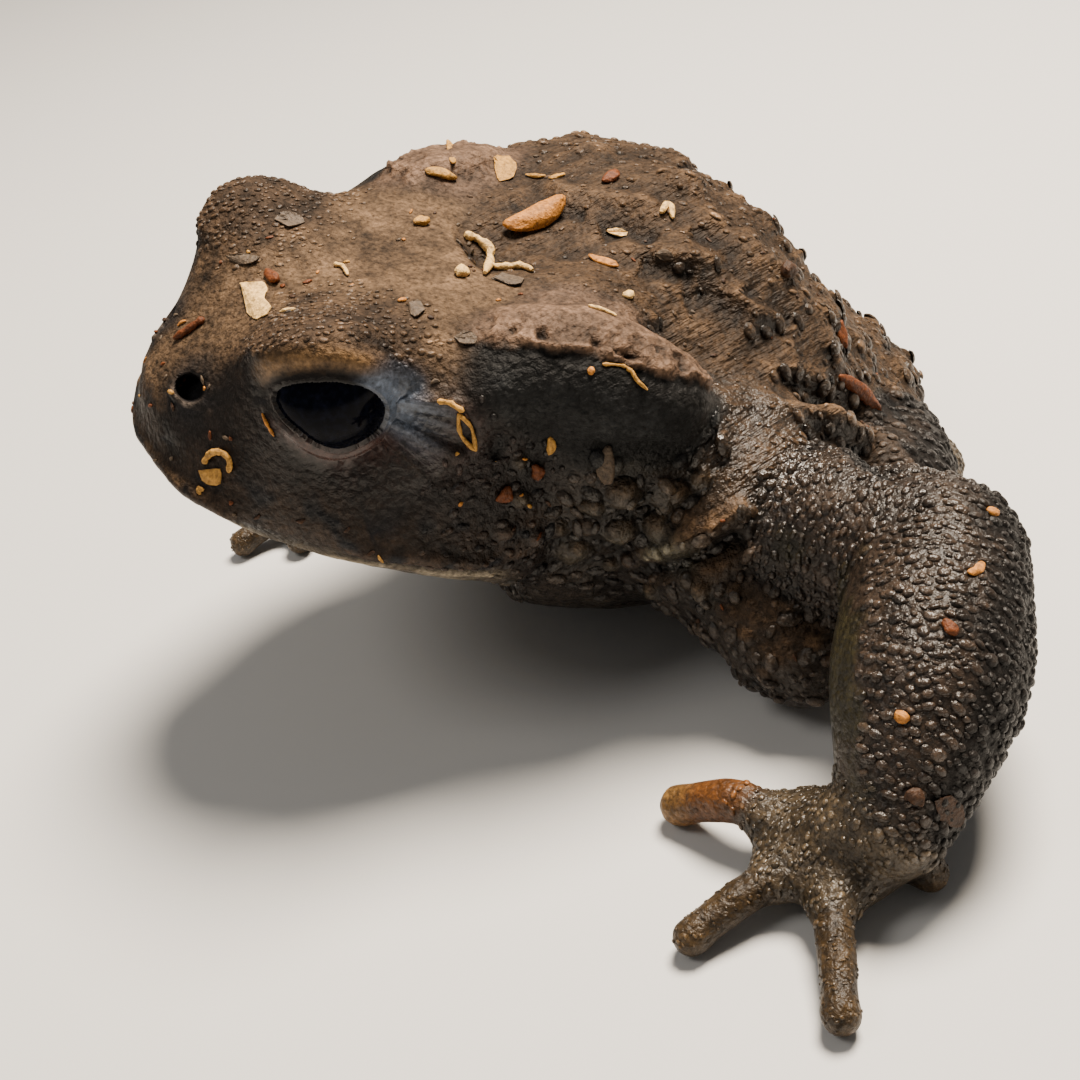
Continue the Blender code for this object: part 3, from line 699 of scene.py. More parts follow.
def below_shelf(head):
    """How many pixels below the gland's ragged shelf each place is seen, alike on both sides."""
    side = folded(head) @ np.array(HEAD_TURN).T
    side[:, 1] *= -1
    x, y = VIEW.pixels(side * MM + np.array(HEAD_ORIGIN))
    across = [pixel[0] for pixel in GLAND_SHELF]
    level = [pixel[1] for pixel in GLAND_SHELF]
    ragged = 8.0 * noise(head, (1.5, 1.5, 1.5), 53) + 4.5 * noise(head, (0.6, 0.6, 0.6), 59)
    return y - np.interp(x, across, level) + ragged


def shelf_relief(places):
    """The gland's flat top ends in a raised, ragged edge with a hollow under it."""
    below = below_shelf(in_head(places))
    return 0.26 * hump(below + 5.0, 6.0) - 0.16 * hump(below - 7.0, 7.0)


def wart_places(places, allowed, count, radii, seed, keep_apart=1.1):
    """Seeded places for warts on the allowed points, biggest first, none overlapping."""
    draw = random.Random(seed)
    candidates = np.flatnonzero(allowed > 0.5)
    chosen = []
    tries = 0
    while len(chosen) < count and tries < count * 30 and len(candidates):
        tries += 1
        size = radii[1] + (radii[0] - radii[1]) * len(chosen) / count
        radius = size * draw.uniform(0.85, 1.15)
        place = places[candidates[draw.randrange(len(candidates))]]
        gaps = (np.linalg.norm(place - other) - (radius + reach) * keep_apart * MM for other, reach in chosen)
        if not any(gap < 0 for gap in gaps):
            chosen.append((place, radius))
    return chosen


def wart_relief(places, warts, steep=0.45):
    total = np.zeros(len(places))
    for centre, radius in warts:
        near = np.flatnonzero(np.abs(places - centre).max(axis=1) < radius * MM)
        away = np.linalg.norm(places[near] - centre, axis=1) / (radius * MM)
        shape = np.clip(1 - away * away, 0, 1) ** 1.1
        total[near] = np.maximum(total[near], shape * radius * steep)
    return total


def carve(skin):
    """Smooths the facets away and raises the folds, warts and wrinkles. Keeps the relief as an attribute."""
    edges = edges_of(skin)
    places = points_of(skin)
    zones = soft_zones(zones_of(places), edges, 6)
    digits = together(zones, "finger", "toe")
    thin = together(zones, "hand", "foot", "tarsus")
    share = 0.5 * (1 - 0.8 * digits - 0.4 * thin)
    places = spread(places, edges, FACET_ROUNDS, np.clip(share, 0.08, 0.5))
    for kind, rounds in JOIN_ROUNDS:
        wide = spread(zones[kind], edges, 40)
        places = spread(places, edges, rounds, 2.0 * wide * (1 - wide) * (1 - digits))
    move_points(skin, places)
    settle = SKIN_SETTLE + DIGIT_SETTLE * digits * (1 - 0.8 * zones["first_finger"])
    places -= normals_of(skin) * settle[:, None] * MM
    move_points(skin, places)

    normals = normals_of(skin)
    body = in_body(places)
    head = in_head(places)
    trunk = zones["trunk"]
    upper = ramp(normals[:, 2], -0.1, 0.5)
    on_face = together(zones, "head", "lower_jaw")
    gland = zones["parotoid"]
    relief = fold_relief(places)
    open_back = ramp(relief, -0.25, -0.02)
    relief += head_relief(places) * on_face + shelf_relief(places) * gland
    rear = ramp(-body[:, 1], 18.0, 34.0)
    back_warts = wart_places(places, trunk * (normals[:, 2] > 0.0), 80, (0.8, 2.0), 5)
    side_warts = wart_places(places, trunk * (np.abs(normals[:, 2]) < 0.5), 130, (0.5, 1.0), 6)
    warts = wart_relief(places, back_warts, 0.28) * (0.15 + 0.85 * rear)
    relief += (warts + wart_relief(places, side_warts, 0.4)) * open_back
    neck_warts = [(np.array(SOLIDS.under(pixel)[0]), radius) for pixel, radius in NECK_WARTS]
    relief += wart_relief(places, neck_warts, 0.62)
    relief += trunk * upper * 0.13 * layers(body, (1.0, 7.0, 1.0), 11, 3)
    relief += trunk * upper * (0.10 + 0.20 * rear) * layers(body, (2.8, 4.4, 2.8), 23, 2)
    relief += trunk * (1 - upper) * 0.16 * layers(body, (1.8, 2.6, 1.8), 29, 2)
    legs = together(zones, "thigh", "shank", "upper_arm", "forearm")
    relief += legs * 0.10 * layers(body, (1.8, 1.8, 1.8), 31, 2)
    relief += on_face * 0.05 * layers(head, (1.2, 1.2, 1.2), 37, 2)
    relief += gland * (0.08 * layers(body, (1.2, 1.8, 1.2), 43, 2) + 0.05)
    below = below_shelf(head)
    pitted = gland * ramp(below, -34.0, -20.0) * (1 - ramp(below, -3.0, 2.0))
    lace = layers(head, (1.0, 1.0, 1.0), 61, 2)
    relief -= pitted * (0.30 * ramp(lace, 0.10, 0.55) - 0.12 * hump(lace - 0.02, 0.10))
    pits = wart_places(places, pitted, 26, (0.24, 0.62), 9, 1.15)
    relief -= wart_relief(places, pits, 0.50)
    pits = wart_places(places, gland * (below < -20), 30, (0.16, 0.30), 19, 1.8)
    relief -= wart_relief(places, pits, 0.6)
    places, around = shape_lids(places + normals * relief[:, None] * MM)
    places = bore_nostrils(spread_part(places, edges, BEHIND_EYE_ROUNDS, 0.5 * around))
    places[:, 2] = np.maximum(places[:, 2], FLOOR_CLEARANCE * MM)
    move_points(skin, places)
    attribute = skin.data.attributes.new("relief", "FLOAT", "POINT")
    attribute.data.foreach_set("value", relief.astype(np.float32))
    triangles = sum(len(p.vertices) - 2 for p in skin.data.polygons)
    modify(skin, "DECIMATE", ratio=min(1.0, SKIN_TRIANGLES / triangles), use_collapse_triangulate=True)
    print("SKIN", triangles, "->", len(skin.data.polygons))


# Colours as linear values
# CROWN and BACK on the upward-facing skin are far paler than FACE_SIDE and FLANK on the sides: partly the
# toad's own colours, partly painted light on the tops and painted shade on the sides
CROWN = (0.072, 0.044, 0.0235)
SNOUT = (0.040, 0.0245, 0.0130)
FACE_SIDE = (0.0068, 0.0040, 0.0027)
LIP = (0.0170, 0.0105, 0.0066)
CHEEK = (0.0150, 0.0098, 0.0085)
BULGE = (0.019, 0.011, 0.0060)
BACK = (0.035, 0.0205, 0.0105)
FLANK = (0.016, 0.0120, 0.0088)
ARM = (0.0145, 0.0098, 0.0068)
# Painted shade on the outer side of the limbs
ARM_PAINTED_SHADE = (0.0035, 0.0028, 0.0024)
ARM_EDGE = (0.016, 0.0135, 0.0065)
HAND = (0.032, 0.0230, 0.0132)
THROAT = (0.150, 0.125, 0.088)
BELLY = (0.160, 0.135, 0.095)
MOTTLE = (0.022, 0.017, 0.013)
GLAND_TOP = (0.078, 0.047, 0.029)
GLAND_SIDE_PAINTED_SHADE = (0.0032, 0.0030, 0.0028)
GLAND_SKIRT = (0.0070, 0.0074, 0.0076)
NECK_FOLDS = (0.031, 0.0275, 0.018)
THUMB = (0.052, 0.0190, 0.0040)
THUMB_TIP = (0.100, 0.052, 0.014)
DIGIT = (0.022, 0.0135, 0.0058)
LID_BAND = (0.145, 0.082, 0.034)
LID_PAINTED_SHADOW = (0.0045, 0.0030, 0.0024)
LID_GREY = (0.100, 0.125, 0.170)
NOSTRIL_RIM = (0.110, 0.088, 0.072)
LID_RIM = (0.045, 0.023, 0.019)
# Near-black for the spots by the lips, and painted shade in the nostrils and at the lids' edge
BLACK_SPOTS_AND_SHADE = (0.004, 0.004, 0.005)
EYEBALL = (0.0020, 0.0025, 0.0055)
FLOOR = (0.60, 0.60, 0.59)
OVERHEAD_LIGHT = (1.0, 0.87, 0.72)
FRONT_LIGHT = (1.0, 0.95, 0.89)
ROOM_LIGHT = (0.82, 0.78, 0.74)


def paint_eyelids(tone, wet, head):
    """The lids' band, grey corner and rims, the painted shadow under the band and the painted shade at the
    lids' edge, and where the skin is smooth.
    """
    smooth = np.zeros(len(head))
    for side in (1, -1):
        near = np.flatnonzero(from_eye(head, side) < LIDS_PAINTED)
        field = EyeField(head[near], side)
        out = field.outside
        local = tone[near]
        close = 1 - ramp(field.reach, EYE_RADIUS + 0.9, EYE_RADIUS + 2.2)
        band = field.above * ramp(out, 0.30, 0.90) * (1 - ramp(out, 1.1, 1.9)) * (1 - 0.7 * field.behind)
        local = blend(local, LID_BAND, band * close * 0.9)
        # Painted shadow: the strip just above the eye, under the overhanging band of the upper lid, is
        # painted near-black.
        local = blend(local, LID_PAINTED_SHADOW, field.above * (1 - ramp(out, 0.15, 0.75)))
        grey = ramp(-field.way[:, 1], 0.05, 0.45) * (1 - ramp(field.way[:, 2], 0.45, 0.75))
        grey *= 1 - ramp(out, 0.4, 2.4)
        grey *= 1 - ramp(field.reach, EYE_RADIUS + 1.2, EYE_RADIUS + 2.8)
        grey *= 1 - ramp(-field.way[:, 2], 0.25, 0.55)
        local = blend(local, LID_GREY, grey)
        local = blend(local, LID_RIM, field.below * (1 - grey) * (1 - ramp(out, 0.5, 1.2)) * close * 0.9)
        # Painted shade: the edge of the lids where they meet the eyeball is painted near-black.
        local = blend(local, BLACK_SPOTS_AND_SHADE, 1 - ramp(out, -0.20, 0.12))
        tone[near] = local
        wet[near] += (1 - ramp(out, 0.8, 1.8)) * 0.5 * (1 - field.above)
        smooth[near] = np.maximum((1 - ramp(out, 0.5, 1.7)) * close, smooth[near])
    return tone, wet, smooth


def paint(skin):
    """Colour and wetness, point by point, from where each point lies on the toad and which way it faces; part
    of the colour is painted light and shade.
    """
    places = points_of(skin)
    normals = normals_of(skin)
    edges = edges_of(skin)
    zones = soft_zones(zones_of(places), edges, 8)
    relief = np.empty(len(places), np.float32)
    skin.data.attributes["relief"].data.foreach_get("value", relief)
    body = in_body(places)
    head = in_head(places)
    # How far each point stands out from its neighbours, for painted shade in hollows and painted light on
    # bumps
    curvature_for_painted_shading = ((places - spread(places, edges, 14)) * normals).sum(axis=1) / MM
    up = ramp(normals[:, 2], -0.05, 0.65)
    under = 1 - ramp(normals[:, 2], -0.75, -0.25)
    mottle = layers(body, (3.0, 3.0, 3.0), 71, 3)
    fine = layers(body, (0.9, 0.9, 0.9), 73, 2)
    tone = np.tile(np.array(FLANK), (len(places), 1))
    # Partly painted light: the trunk's upward-facing skin gets the paler back colour and its sides the darker
    # flank colour.
    tone = blend(tone, BACK, zones["trunk"] * up)
    limbs = together(zones, "upper_arm", "forearm", "thigh", "shank")
    tone = blend(tone, ARM, limbs)
    # Painted shade: the side of each limb that faces outward across the view is painted near-black, for the
    # shade it lies in.
    outer = normals @ np.array(VIEW.right) * np.where(zones["left"] > 0.5, 1.0, -1.0) + 0.25 * mottle
    shade = limbs * ramp(outer, 0.10, 0.50)
    tone = blend(tone, ARM_PAINTED_SHADE, shade)
    tone = blend(tone, ARM_EDGE, limbs * ramp(-outer, 0.72, 0.92))
    on_face = together(zones, "head", "lower_jaw")
    # Partly painted shade and light: the sides of the head are near-black and the upward-facing crown much
    # paler.
    tone = blend(tone, FACE_SIDE, on_face)
    crown = zones["head"] * ramp(normals[:, 2] + 0.12 * fine, 0.42, 0.85)
    tone = blend(tone, CROWN, crown)
    tone = blend(tone, SNOUT, crown * ramp(head[:, 1] + mottle, 2.0, 8.0) * 0.9)
    # Darker round the eyes on the crown: partly the skin's own dark patches, partly painted shade on the
    # eyes' bulges.
    for side in (1, -1):
        near_eye = 1 - ramp(from_eye(head, side) + 0.8 * mottle, 5.4, 8.0)
        tone = blend(tone, BULGE, crown * near_eye * 0.85)
    gland = zones["parotoid"]
    below = below_shelf(head)
    # Painted shade: the gland's steep side is painted near-black. Its paler top is partly the gland's own
    # colour and partly painted light.
    tone = blend(tone, GLAND_SIDE_PAINTED_SHADE, gland)
    tone = blend(tone, GLAND_SKIRT, gland * ramp(below, 14.0, 40.0))
    tone = blend(tone, GLAND_TOP, gland * (1 - ramp(below, -5.0, 5.0)))
    patch = np.zeros(len(places))
    for pixel, reach in NECK_PATCHES:
        away = from_pixel(places, pixel)
        patch = np.maximum(patch, (1 - ramp(away, reach * 0.4, reach)) * (1 - gland))
    tone = blend(tone, NECK_FOLDS, patch)
    for pixel, radius in NECK_WARTS:
        away = from_pixel(places, pixel)
        tone = blend(tone, NECK_FOLDS, 0.7 * hump(away, radius * 0.75))
        patch = np.maximum(patch, hump(away, radius))
    lips = mouth_height(head)
    by_lips = (1 - ramp(lips, 2.6, 5.0)) * ramp(lips, 0.2, 0.7)
    tone = blend(tone, LIP, by_lips * zones["head"] * (1 - crown))
    ear = np.linalg.norm(folded(head) - face_place(EARDRUM_PIXEL), axis=1)
    tone = blend(tone, CHEEK, 0.8 * (1 - ramp(ear + mottle, 1.5, 4.5)) * on_face)
    spots = ramp(noise(head, (1.1, 1.1, 0.9), 91), 0.12, 0.28) * by_lips
    tone = blend(tone, BLACK_SPOTS_AND_SHADE, spots * zones["head"])
    jaw = zones["lower_jaw"]
    pale = np.maximum(ramp(spread(jaw, edges, 60), 0.2, 1.0), jaw * hump(lips + 0.8, 0.9))
    tone = blend(tone, THROAT, pale * ramp(-head[:, 2], 0.4, 2.0))
    tone = blend(tone, MOTTLE, jaw * ramp(mottle, 0.05, 0.25) * 0.8)
    tone = blend(tone, BELLY, zones["trunk"] * under * ramp(-body[:, 1], 14.0, 24.0))
    tone = blend(tone, MOTTLE, zones["trunk"] * under * ramp(mottle, -0.05, 0.2))
    hands = together(zones, "hand", "foot", "tarsus")
    tone = blend(tone, HAND, hands)
    tone = blend(tone, DIGIT, together(zones, "finger", "toe"))
    tone = blend(tone, THUMB, zones["first_finger"])
    tip = np.linalg.norm(places - np.array(thumb_tip()), axis=1) / MM
    tone = blend(tone, THUMB_TIP, zones["first_finger"] * (1 - ramp(tip, 1.2, 4.2)))
    tone *= (1 + 0.26 * mottle + (0.20 + 0.18 * on_face) * fine)[:, None]
    # Painted shade and light from the shape: hollows, folds and pits are painted darker, and ridges, warts
    # and bumps paler.
    tone *= np.clip(1 + 0.7 * relief, 0.35, 1.6)[:, None]
    tone *= np.clip(1 + 4.0 * curvature_for_painted_shading, 0.30, 2.0)[:, None]
    wet = 0.45 * together(zones, "upper_arm", "forearm") + 0.5 * hands + 0.35 * zones["trunk"] * (1 - up)
    wet += 0.3 * together(zones, "finger", "toe") + 0.25 * on_face * (1 - up)
    wet -= 0.55 * shade
    wet += 0.8 * (1 - ramp(from_pixel(places, WET_PIXEL), 3.0, 6.5)) + 0.35 * patch
    tone, wet, smooth = paint_eyelids(tone, wet, head)
    aside, away, low = nostril_field(head)
    # Painted shade: the inside of the bored nostril is painted near-black, and the skin round it is darkened
    # too.
    tone = blend(tone, BLACK_SPOTS_AND_SHADE, 0.8 * (1 - ramp(away, 1.5, 3.4)) * on_face)
    rim = hump(aside - NOSTRIL_RADIUS - 0.16, 0.11) * low * (away < NOSTRIL_REACH)
    tone = blend(tone, NOSTRIL_RIM, 0.8 * rim)
    hole = (1 - ramp(aside, NOSTRIL_RADIUS - 0.18, NOSTRIL_RADIUS + 0.06)) * (away < NOSTRIL_REACH)
    tone = blend(tone, BLACK_SPOTS_AND_SHADE, hole)
    wet *= 1 - hole
    colour = np.ones((len(places), 4), np.float32)
    colour[:, :3] = np.clip(tone, 0.002, 1.0)
    store_colour(skin, "tone", colour)
    store_value(skin, "wet", np.clip(wet, 0, 1))
    store_value(skin, "smooth", smooth)
    store_value(skin, "wrinkle", zones["trunk"] * up + 0.3 * gland)
    store_value(skin, "dry", np.clip(zones["head"] * up + 0.6 * gland * up + 0.4 * zones["trunk"] * up, 0, 1))
    return zones, colour, np.clip(wet, 0, 1), relief


def thumb_tip():
    """The end of the left hand's first finger, which points to the toad's right."""
    node = frame["nodes"]["finger_left_1"]
    return min((vertex.co for vertex in node.data.vertices), key=lambda place: place.x)


def store_colour(obj, name, colour):
    attribute = obj.data.color_attributes.new(name, "FLOAT_COLOR", "POINT")
    attribute.data.foreach_set("color", np.ascontiguousarray(colour, np.float32).ravel())


def store_tone(obj, tone):
    store_colour(obj, "tone", np.tile((*tone, 1.0), (len(obj.data.vertices), 1)))


def store_value(obj, name, values):
    attribute = obj.data.attributes.new(name, "FLOAT", "POINT")
    attribute.data.foreach_set("value", np.ascontiguousarray(values, np.float32))


class Finish:
    """A Principled material and short calls that add and link its nodes."""

    def __init__(self, name):
        self.material = bpy.data.materials.new(name)
        self.material.use_nodes = True
        self.tree = self.material.node_tree
        self.shader = self.tree.nodes["Principled BSDF"]
        self.place = self.tree.nodes.new("ShaderNodeTexCoord").outputs["Object"]

    def link(self, start, end):
        self.tree.links.new(start, end)

    def attribute(self, name):
        made = self.tree.nodes.new("ShaderNodeAttribute")
        made.attribute_name = name
        return made

    def grains(self, size_mm, detail=3.0, stretch=None, kind="noise"):
        """Noise or cells on Object coordinates, with grains of about this many millimetres."""
        place = self.place
        if stretch:
            mapping = self.tree.nodes.new("ShaderNodeMapping")
            mapping.inputs["Scale"].default_value = stretch
            self.link(place, mapping.inputs["Vector"])
            place = mapping.outputs["Vector"]
        if kind == "noise":
            made = self.tree.nodes.new("ShaderNodeTexNoise")
            made.inputs["Detail"].default_value = detail
            made.inputs["Roughness"].default_value = 0.6
        else:
            made = self.tree.nodes.new("ShaderNodeTexVoronoi")
        made.inputs["Scale"].default_value = 1000.0 / size_mm
        self.link(place, made.inputs["Vector"])
        return made

    def range(self, value, low, high, to_low, to_high):
        made = self.tree.nodes.new("ShaderNodeMapRange")
        self.link(value, made.inputs["Value"])
        for key, number in (("From Min", low), ("From Max", high), ("To Min", to_low), ("To Max", to_high)):
            made.inputs[key].default_value = number
        return made.outputs["Result"]

    def maths(self, operation, first, second):
        made = self.tree.nodes.new("ShaderNodeMath")
        made.operation = operation
        for socket, value in zip(made.inputs, (first, second)):
            if isinstance(value, bpy.types.NodeSocket):
                self.link(value, socket)
            else:
                socket.default_value = value
        return made.outputs["Value"]

    def scaled(self, colour, factor):
        """A colour made lighter or darker by a value."""
        made = self.tree.nodes.new("ShaderNodeVectorMath")
        made.operation = "SCALE"
        self.link(colour, made.inputs[0])
        self.link(factor, made.inputs["Scale"])
        return made.outputs["Vector"]

    def bump(self, height, depth_mm, before=None):
        made = self.tree.nodes.new("ShaderNodeBump")
        made.inputs["Strength"].default_value = 1.0
        made.inputs["Distance"].default_value = depth_mm * MM
        self.link(height, made.inputs["Height"])
        if before:
            self.link(before, made.inputs["Normal"])
        return made.outputs["Normal"]


def skin_finish():
    """Specks, cells, crust and wrinkles over the tone that each point has, and gloss where it is wet."""
    skin = Finish("toad_skin")
    inputs = skin.shader.inputs
    tone = skin.attribute("tone").outputs["Color"]
    wet = skin.attribute("wet").outputs["Fac"]
    wrinkle = skin.attribute("wrinkle").outputs["Fac"]
    specks = skin.grains(0.35, 3.0).outputs["Fac"]
    blotch = skin.grains(1.6, 4.0).outputs["Fac"]
    blotches = skin.range(blotch, 0.3, 0.7, 0.55, 1.45)
    light = skin.maths("MULTIPLY", skin.range(specks, 0.3, 0.7, 0.4, 1.6), blotches)
    skin.link(skin.scaled(tone, light), inputs["Base Color"])
    dry = skin.attribute("dry").outputs["Fac"]
    rough = skin.maths("ADD", skin.range(specks, 0.3, 0.7, 0.66, 0.46), skin.maths("MULTIPLY", dry, 0.16))
    skin.link(skin.maths("SUBTRACT", rough, skin.maths("MULTIPLY", wet, 0.36)), inputs["Roughness"])
    fine = skin.grains(0.26, 2.0).outputs["Fac"]
    cells = skin.range(skin.grains(0.55, kind="cells").outputs["Distance"], 0.0, 0.7, 1.0, 0.0)
    crust = skin.grains(0.75, 5.0).outputs["Fac"]
    lines = skin.grains(0.42, 3.0, (1.0, 0.14, 1.0)).outputs["Fac"]
    rough_skin = skin.maths("SUBTRACT", 1.0, skin.attribute("smooth").outputs["Fac"])
    first = skin.bump(skin.maths("MULTIPLY", fine, rough_skin), 0.12)
    second = skin.bump(skin.maths("MULTIPLY", cells, rough_skin), 0.10, first)
    third = skin.bump(skin.maths("MULTIPLY", crust, dry), 0.34, second)
    skin.link(skin.bump(skin.maths("MULTIPLY", lines, wrinkle), 0.45, third), inputs["Normal"])
    skin.link(skin.range(wet, 0.0, 1.0, 0.20, 0.62), inputs["Specular IOR Level"])
    inputs["IOR"].default_value = 1.42
    return skin.material


def make_skin():
    skin = gather_flesh()
    fuse(skin)
    refine_face(skin)
    carve(skin)
    zones, colour, wet, relief = paint(skin)
    finish = skin_finish()
    skin.data.materials.append(finish)
    skin.data.shade_smooth()
    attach(skin, "root")
    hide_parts(*FLESH)
    make_granules(skin, zones, colour, wet, relief, finish)
    make_litter(skin, zones)


def dome_shape():
    """The points and faces of a half ball whose rim lies a little under its middle."""
    bpy.ops.object.select_all(action="DESELECT")
    bpy.ops.mesh.primitive_uv_sphere_add(segments=8, ring_count=6, radius=1.0)
    ball = bpy.context.object
    bm = bmesh.new()
    bm.from_mesh(ball.data)
    lower = [vertex for vertex in bm.verts if vertex.co.z < -0.4]
    bmesh.ops.delete(bm, geom=lower, context="VERTS")
    bmesh.ops.triangulate(bm, faces=bm.faces)
    bm.verts.index_update()
    points = np.array([vertex.co[:] for vertex in bm.verts])
    faces = np.array([[vertex.index for vertex in face.verts] for face in bm.faces])
    bm.free()
    mesh = ball.data
    bpy.data.objects.remove(ball)
    bpy.data.meshes.remove(mesh)
    return points, faces


class Scatter:
    """Seeded places for granules on the skin, kept apart by their own size."""

    CELL = 1.6
    TRIES = 7

    def __init__(self, places, seed):
        self.places = places / MM
        self.draw = random.Random(seed)
        self.cells = {}
        self.chosen = []

    def fill(self, mask, count, radii, gap):
        """Adds up to count granules where the mask, a chance from 0 to 1, allows them."""
        allowed = np.flatnonzero(mask > 0.05)
        start = len(self.chosen)
        for _ in range(count * self.TRIES):
            if len(self.chosen) - start >= count:
                break
            index = int(allowed[self.draw.randrange(len(allowed))])
            if self.draw.random() > mask[index]:
                continue
            radius = self.draw.uniform(*radii)
            place = self.places[index]
            cell = tuple(int(c // self.CELL) for c in place)
            if self.clear(place, radius * gap, gap, cell):
                self.cells.setdefault(cell, []).append((place, radius))
                self.chosen.append((index, radius))

    def clear(self, place, reach, gap, cell):
        x, y, z = cell
        for i in (-1, 0, 1):
            for j in (-1, 0, 1):
                for k in (-1, 0, 1):
                    for other, radius in self.cells.get((x + i, y + j, z + k), ()):
                        apart = other - place
                        if apart @ apart < (reach + radius * gap) ** 2:
                            return False
        return True


def make_granules(skin, zones, colour, wet, relief, finish):
    """The rounded granules of the limbs, flanks and back, as low domes that stand on the skin."""
    places = points_of(skin)
    normals = normals_of(skin)
    body = in_body(places)
    head = in_head(places)
    clear_of_floor = ramp(body[:, 2], 0.6, 1.2)
    up = ramp(normals[:, 2], -0.1, 0.5)
    eye_near = np.zeros(len(places))
    for side in (1, -1):
        eye_near = np.maximum(eye_near, 1 - ramp(from_eye(head, side), *GRANULES_START))
    open_skin = clear_of_floor * (1 - eye_near)
    for pixel, radius in NECK_WARTS:
        away = from_pixel(places, pixel)
        open_skin *= ramp(away, radius * 0.9, radius * 1.25)
    facing = ramp(normals[:, 2], -0.2, 0.2)
    strip = 1 - ramp(-(normals @ np.array(VIEW.right)), 0.66, 0.84) * zones["forearm"]
    arms = Scatter(places, 301)
    upper = together(zones, "upper_arm", "forearm") * open_skin * strip
    arms.fill(upper, 3000, (0.20, 0.46), 0.80)
    arms.fill(upper, 1700, (0.12, 0.20), 0.9)
    build_granules("arm_granules", arms.chosen, skin, colour, wet, finish, 0.52)
    legs = Scatter(places, 303)
    legs.fill(together(zones, "thigh", "shank") * open_skin, 1100, (0.26, 0.54), 0.95)
    legs.fill(together(zones, "hand", "foot", "tarsus") * open_skin * facing, 1100, (0.14, 0.30), 0.9)
    digits = together(zones, "finger", "toe") * (1 - zones["first_finger"]) * facing
    legs.fill(digits * ramp(body[:, 2], 0.5, 0.9), 800, (0.08, 0.16), 1.0)
    build_granules("leg_granules", legs.chosen, skin, colour, wet, finish, 0.50)
    trunk = Scatter(places, 302)
    flank = zones["trunk"] * (1 - up) * open_skin * ramp(normals[:, 2], -0.6, -0.3)
    trunk.fill(flank, 700, (0.40, 0.75), 1.0)
    trunk.fill(flank, 700, (0.18, 0.30), 1.0)
    plain_back = zones["trunk"] * up * open_skin * ramp(relief, -0.25, -0.05)
    trunk.fill(plain_back * ramp(-body[:, 1], 22.0, 34.0), 380, (0.16, 0.40), 1.6)
    trunk.fill(plain_back, 260, (0.12, 0.24), 1.8)
    face = zones["head"] * open_skin * ramp(-head[:, 1], 2.0, 9.0) * (1 - ramp(normals[:, 2], 0.3, 0.6))
    face *= ramp(np.linalg.norm(folded(head) - face_place(EARDRUM_PIXEL), axis=1), 1.8, 2.6)
    trunk.fill(face, 300, (0.16, 0.44), 1.3)
    for side in (1, -1):
        field = EyeField(head, side)
        crust = field.above * ramp(field.outside, 1.5, 2.2) * (1 - ramp(field.reach, 7.6, 9.4))
        trunk.fill(crust * (field.reach > 5) * zones["head"], 260, (0.11, 0.26), 1.05)
    build_granules("body_granules", trunk.chosen, skin, colour, wet, finish, 0.55)


def long_axis(name):
    """The direction in which a node is longest."""
    places = points_of(frame["nodes"][name])
    _, axes = np.linalg.eigh(np.cov(places.T))
    return Vector(axes[:, -1])


def build_granules(name, chosen, skin, colour, wet, finish, height):
    """Domes at the chosen points, each a little longer across the limb that carries it."""
    places = points_of(skin)
    normals = normals_of(skin)
    axes = {node: long_axis(node) for node in FLESH}
    points, faces = dome_shape()
    draw = random.Random(len(chosen))
    count = len(chosen)
    size = len(points)
    found = np.empty((count, size, 3))
    tones = np.ones((count, size, 4))
    gloss = np.empty((count, size))
    crown = np.clip(points[:, 2], 0, 1)
    for k, (index, radius) in enumerate(chosen):
        up = Vector(normals[index])
        side = up.cross(axes[SOLIDS.name_near(places[index])]).normalized()
        side.rotate(Matrix.Rotation(draw.uniform(-0.5, 0.5), 3, up))
        turn = np.array(Matrix((side, up.cross(side), up)))
        longer = draw.uniform(1.05, 1.40)
        sizes = np.array((longer, 1 / longer, height * draw.uniform(0.8, 1.2))) * radius * MM
        found[k] = places[index] + (points * sizes) @ turn
        light = draw.uniform(0.9, 1.7)
        # Painted shade and light: each dome is painted darker at its foot, where it meets the skin, and paler
        # towards its top.
        tones[k, :, :3] = colour[index, :3] * light * (0.65 + 0.75 * crown)[:, None]
        gloss[k] = wet[index] + 0.25
    mesh = bpy.data.meshes.new(name)
    joined = (faces[None] + (np.arange(count) * size)[:, None, None]).reshape(-1, 3)
    mesh.from_pydata(found.reshape(-1, 3), [], joined.tolist())
    obj = bpy.data.objects.new(name, mesh)
    bpy.context.scene.collection.objects.link(obj)
    store_colour(obj, "tone", tones.reshape(-1, 4))
    store_value(obj, "wet", np.clip(gloss.ravel(), 0, 1))
    for key in ("wrinkle", "dry", "smooth"):
        store_value(obj, key, np.zeros(count * size))
    mesh.materials.append(finish)
    mesh.shade_smooth()
    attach(obj, "root")
    print("GRANULES", name, count, "triangles", len(joined))


# Dry litter that clings to the skin, by the pixels where the photo shows it
CREAM = (0.66, 0.42, 0.15)
STRAW = (0.40, 0.205, 0.040)
AMBER = (0.42, 0.165, 0.026)
RUST = (0.105, 0.026, 0.003)
BARK = (0.036, 0.014, 0.004)
ASH = (0.075, 0.052, 0.033)
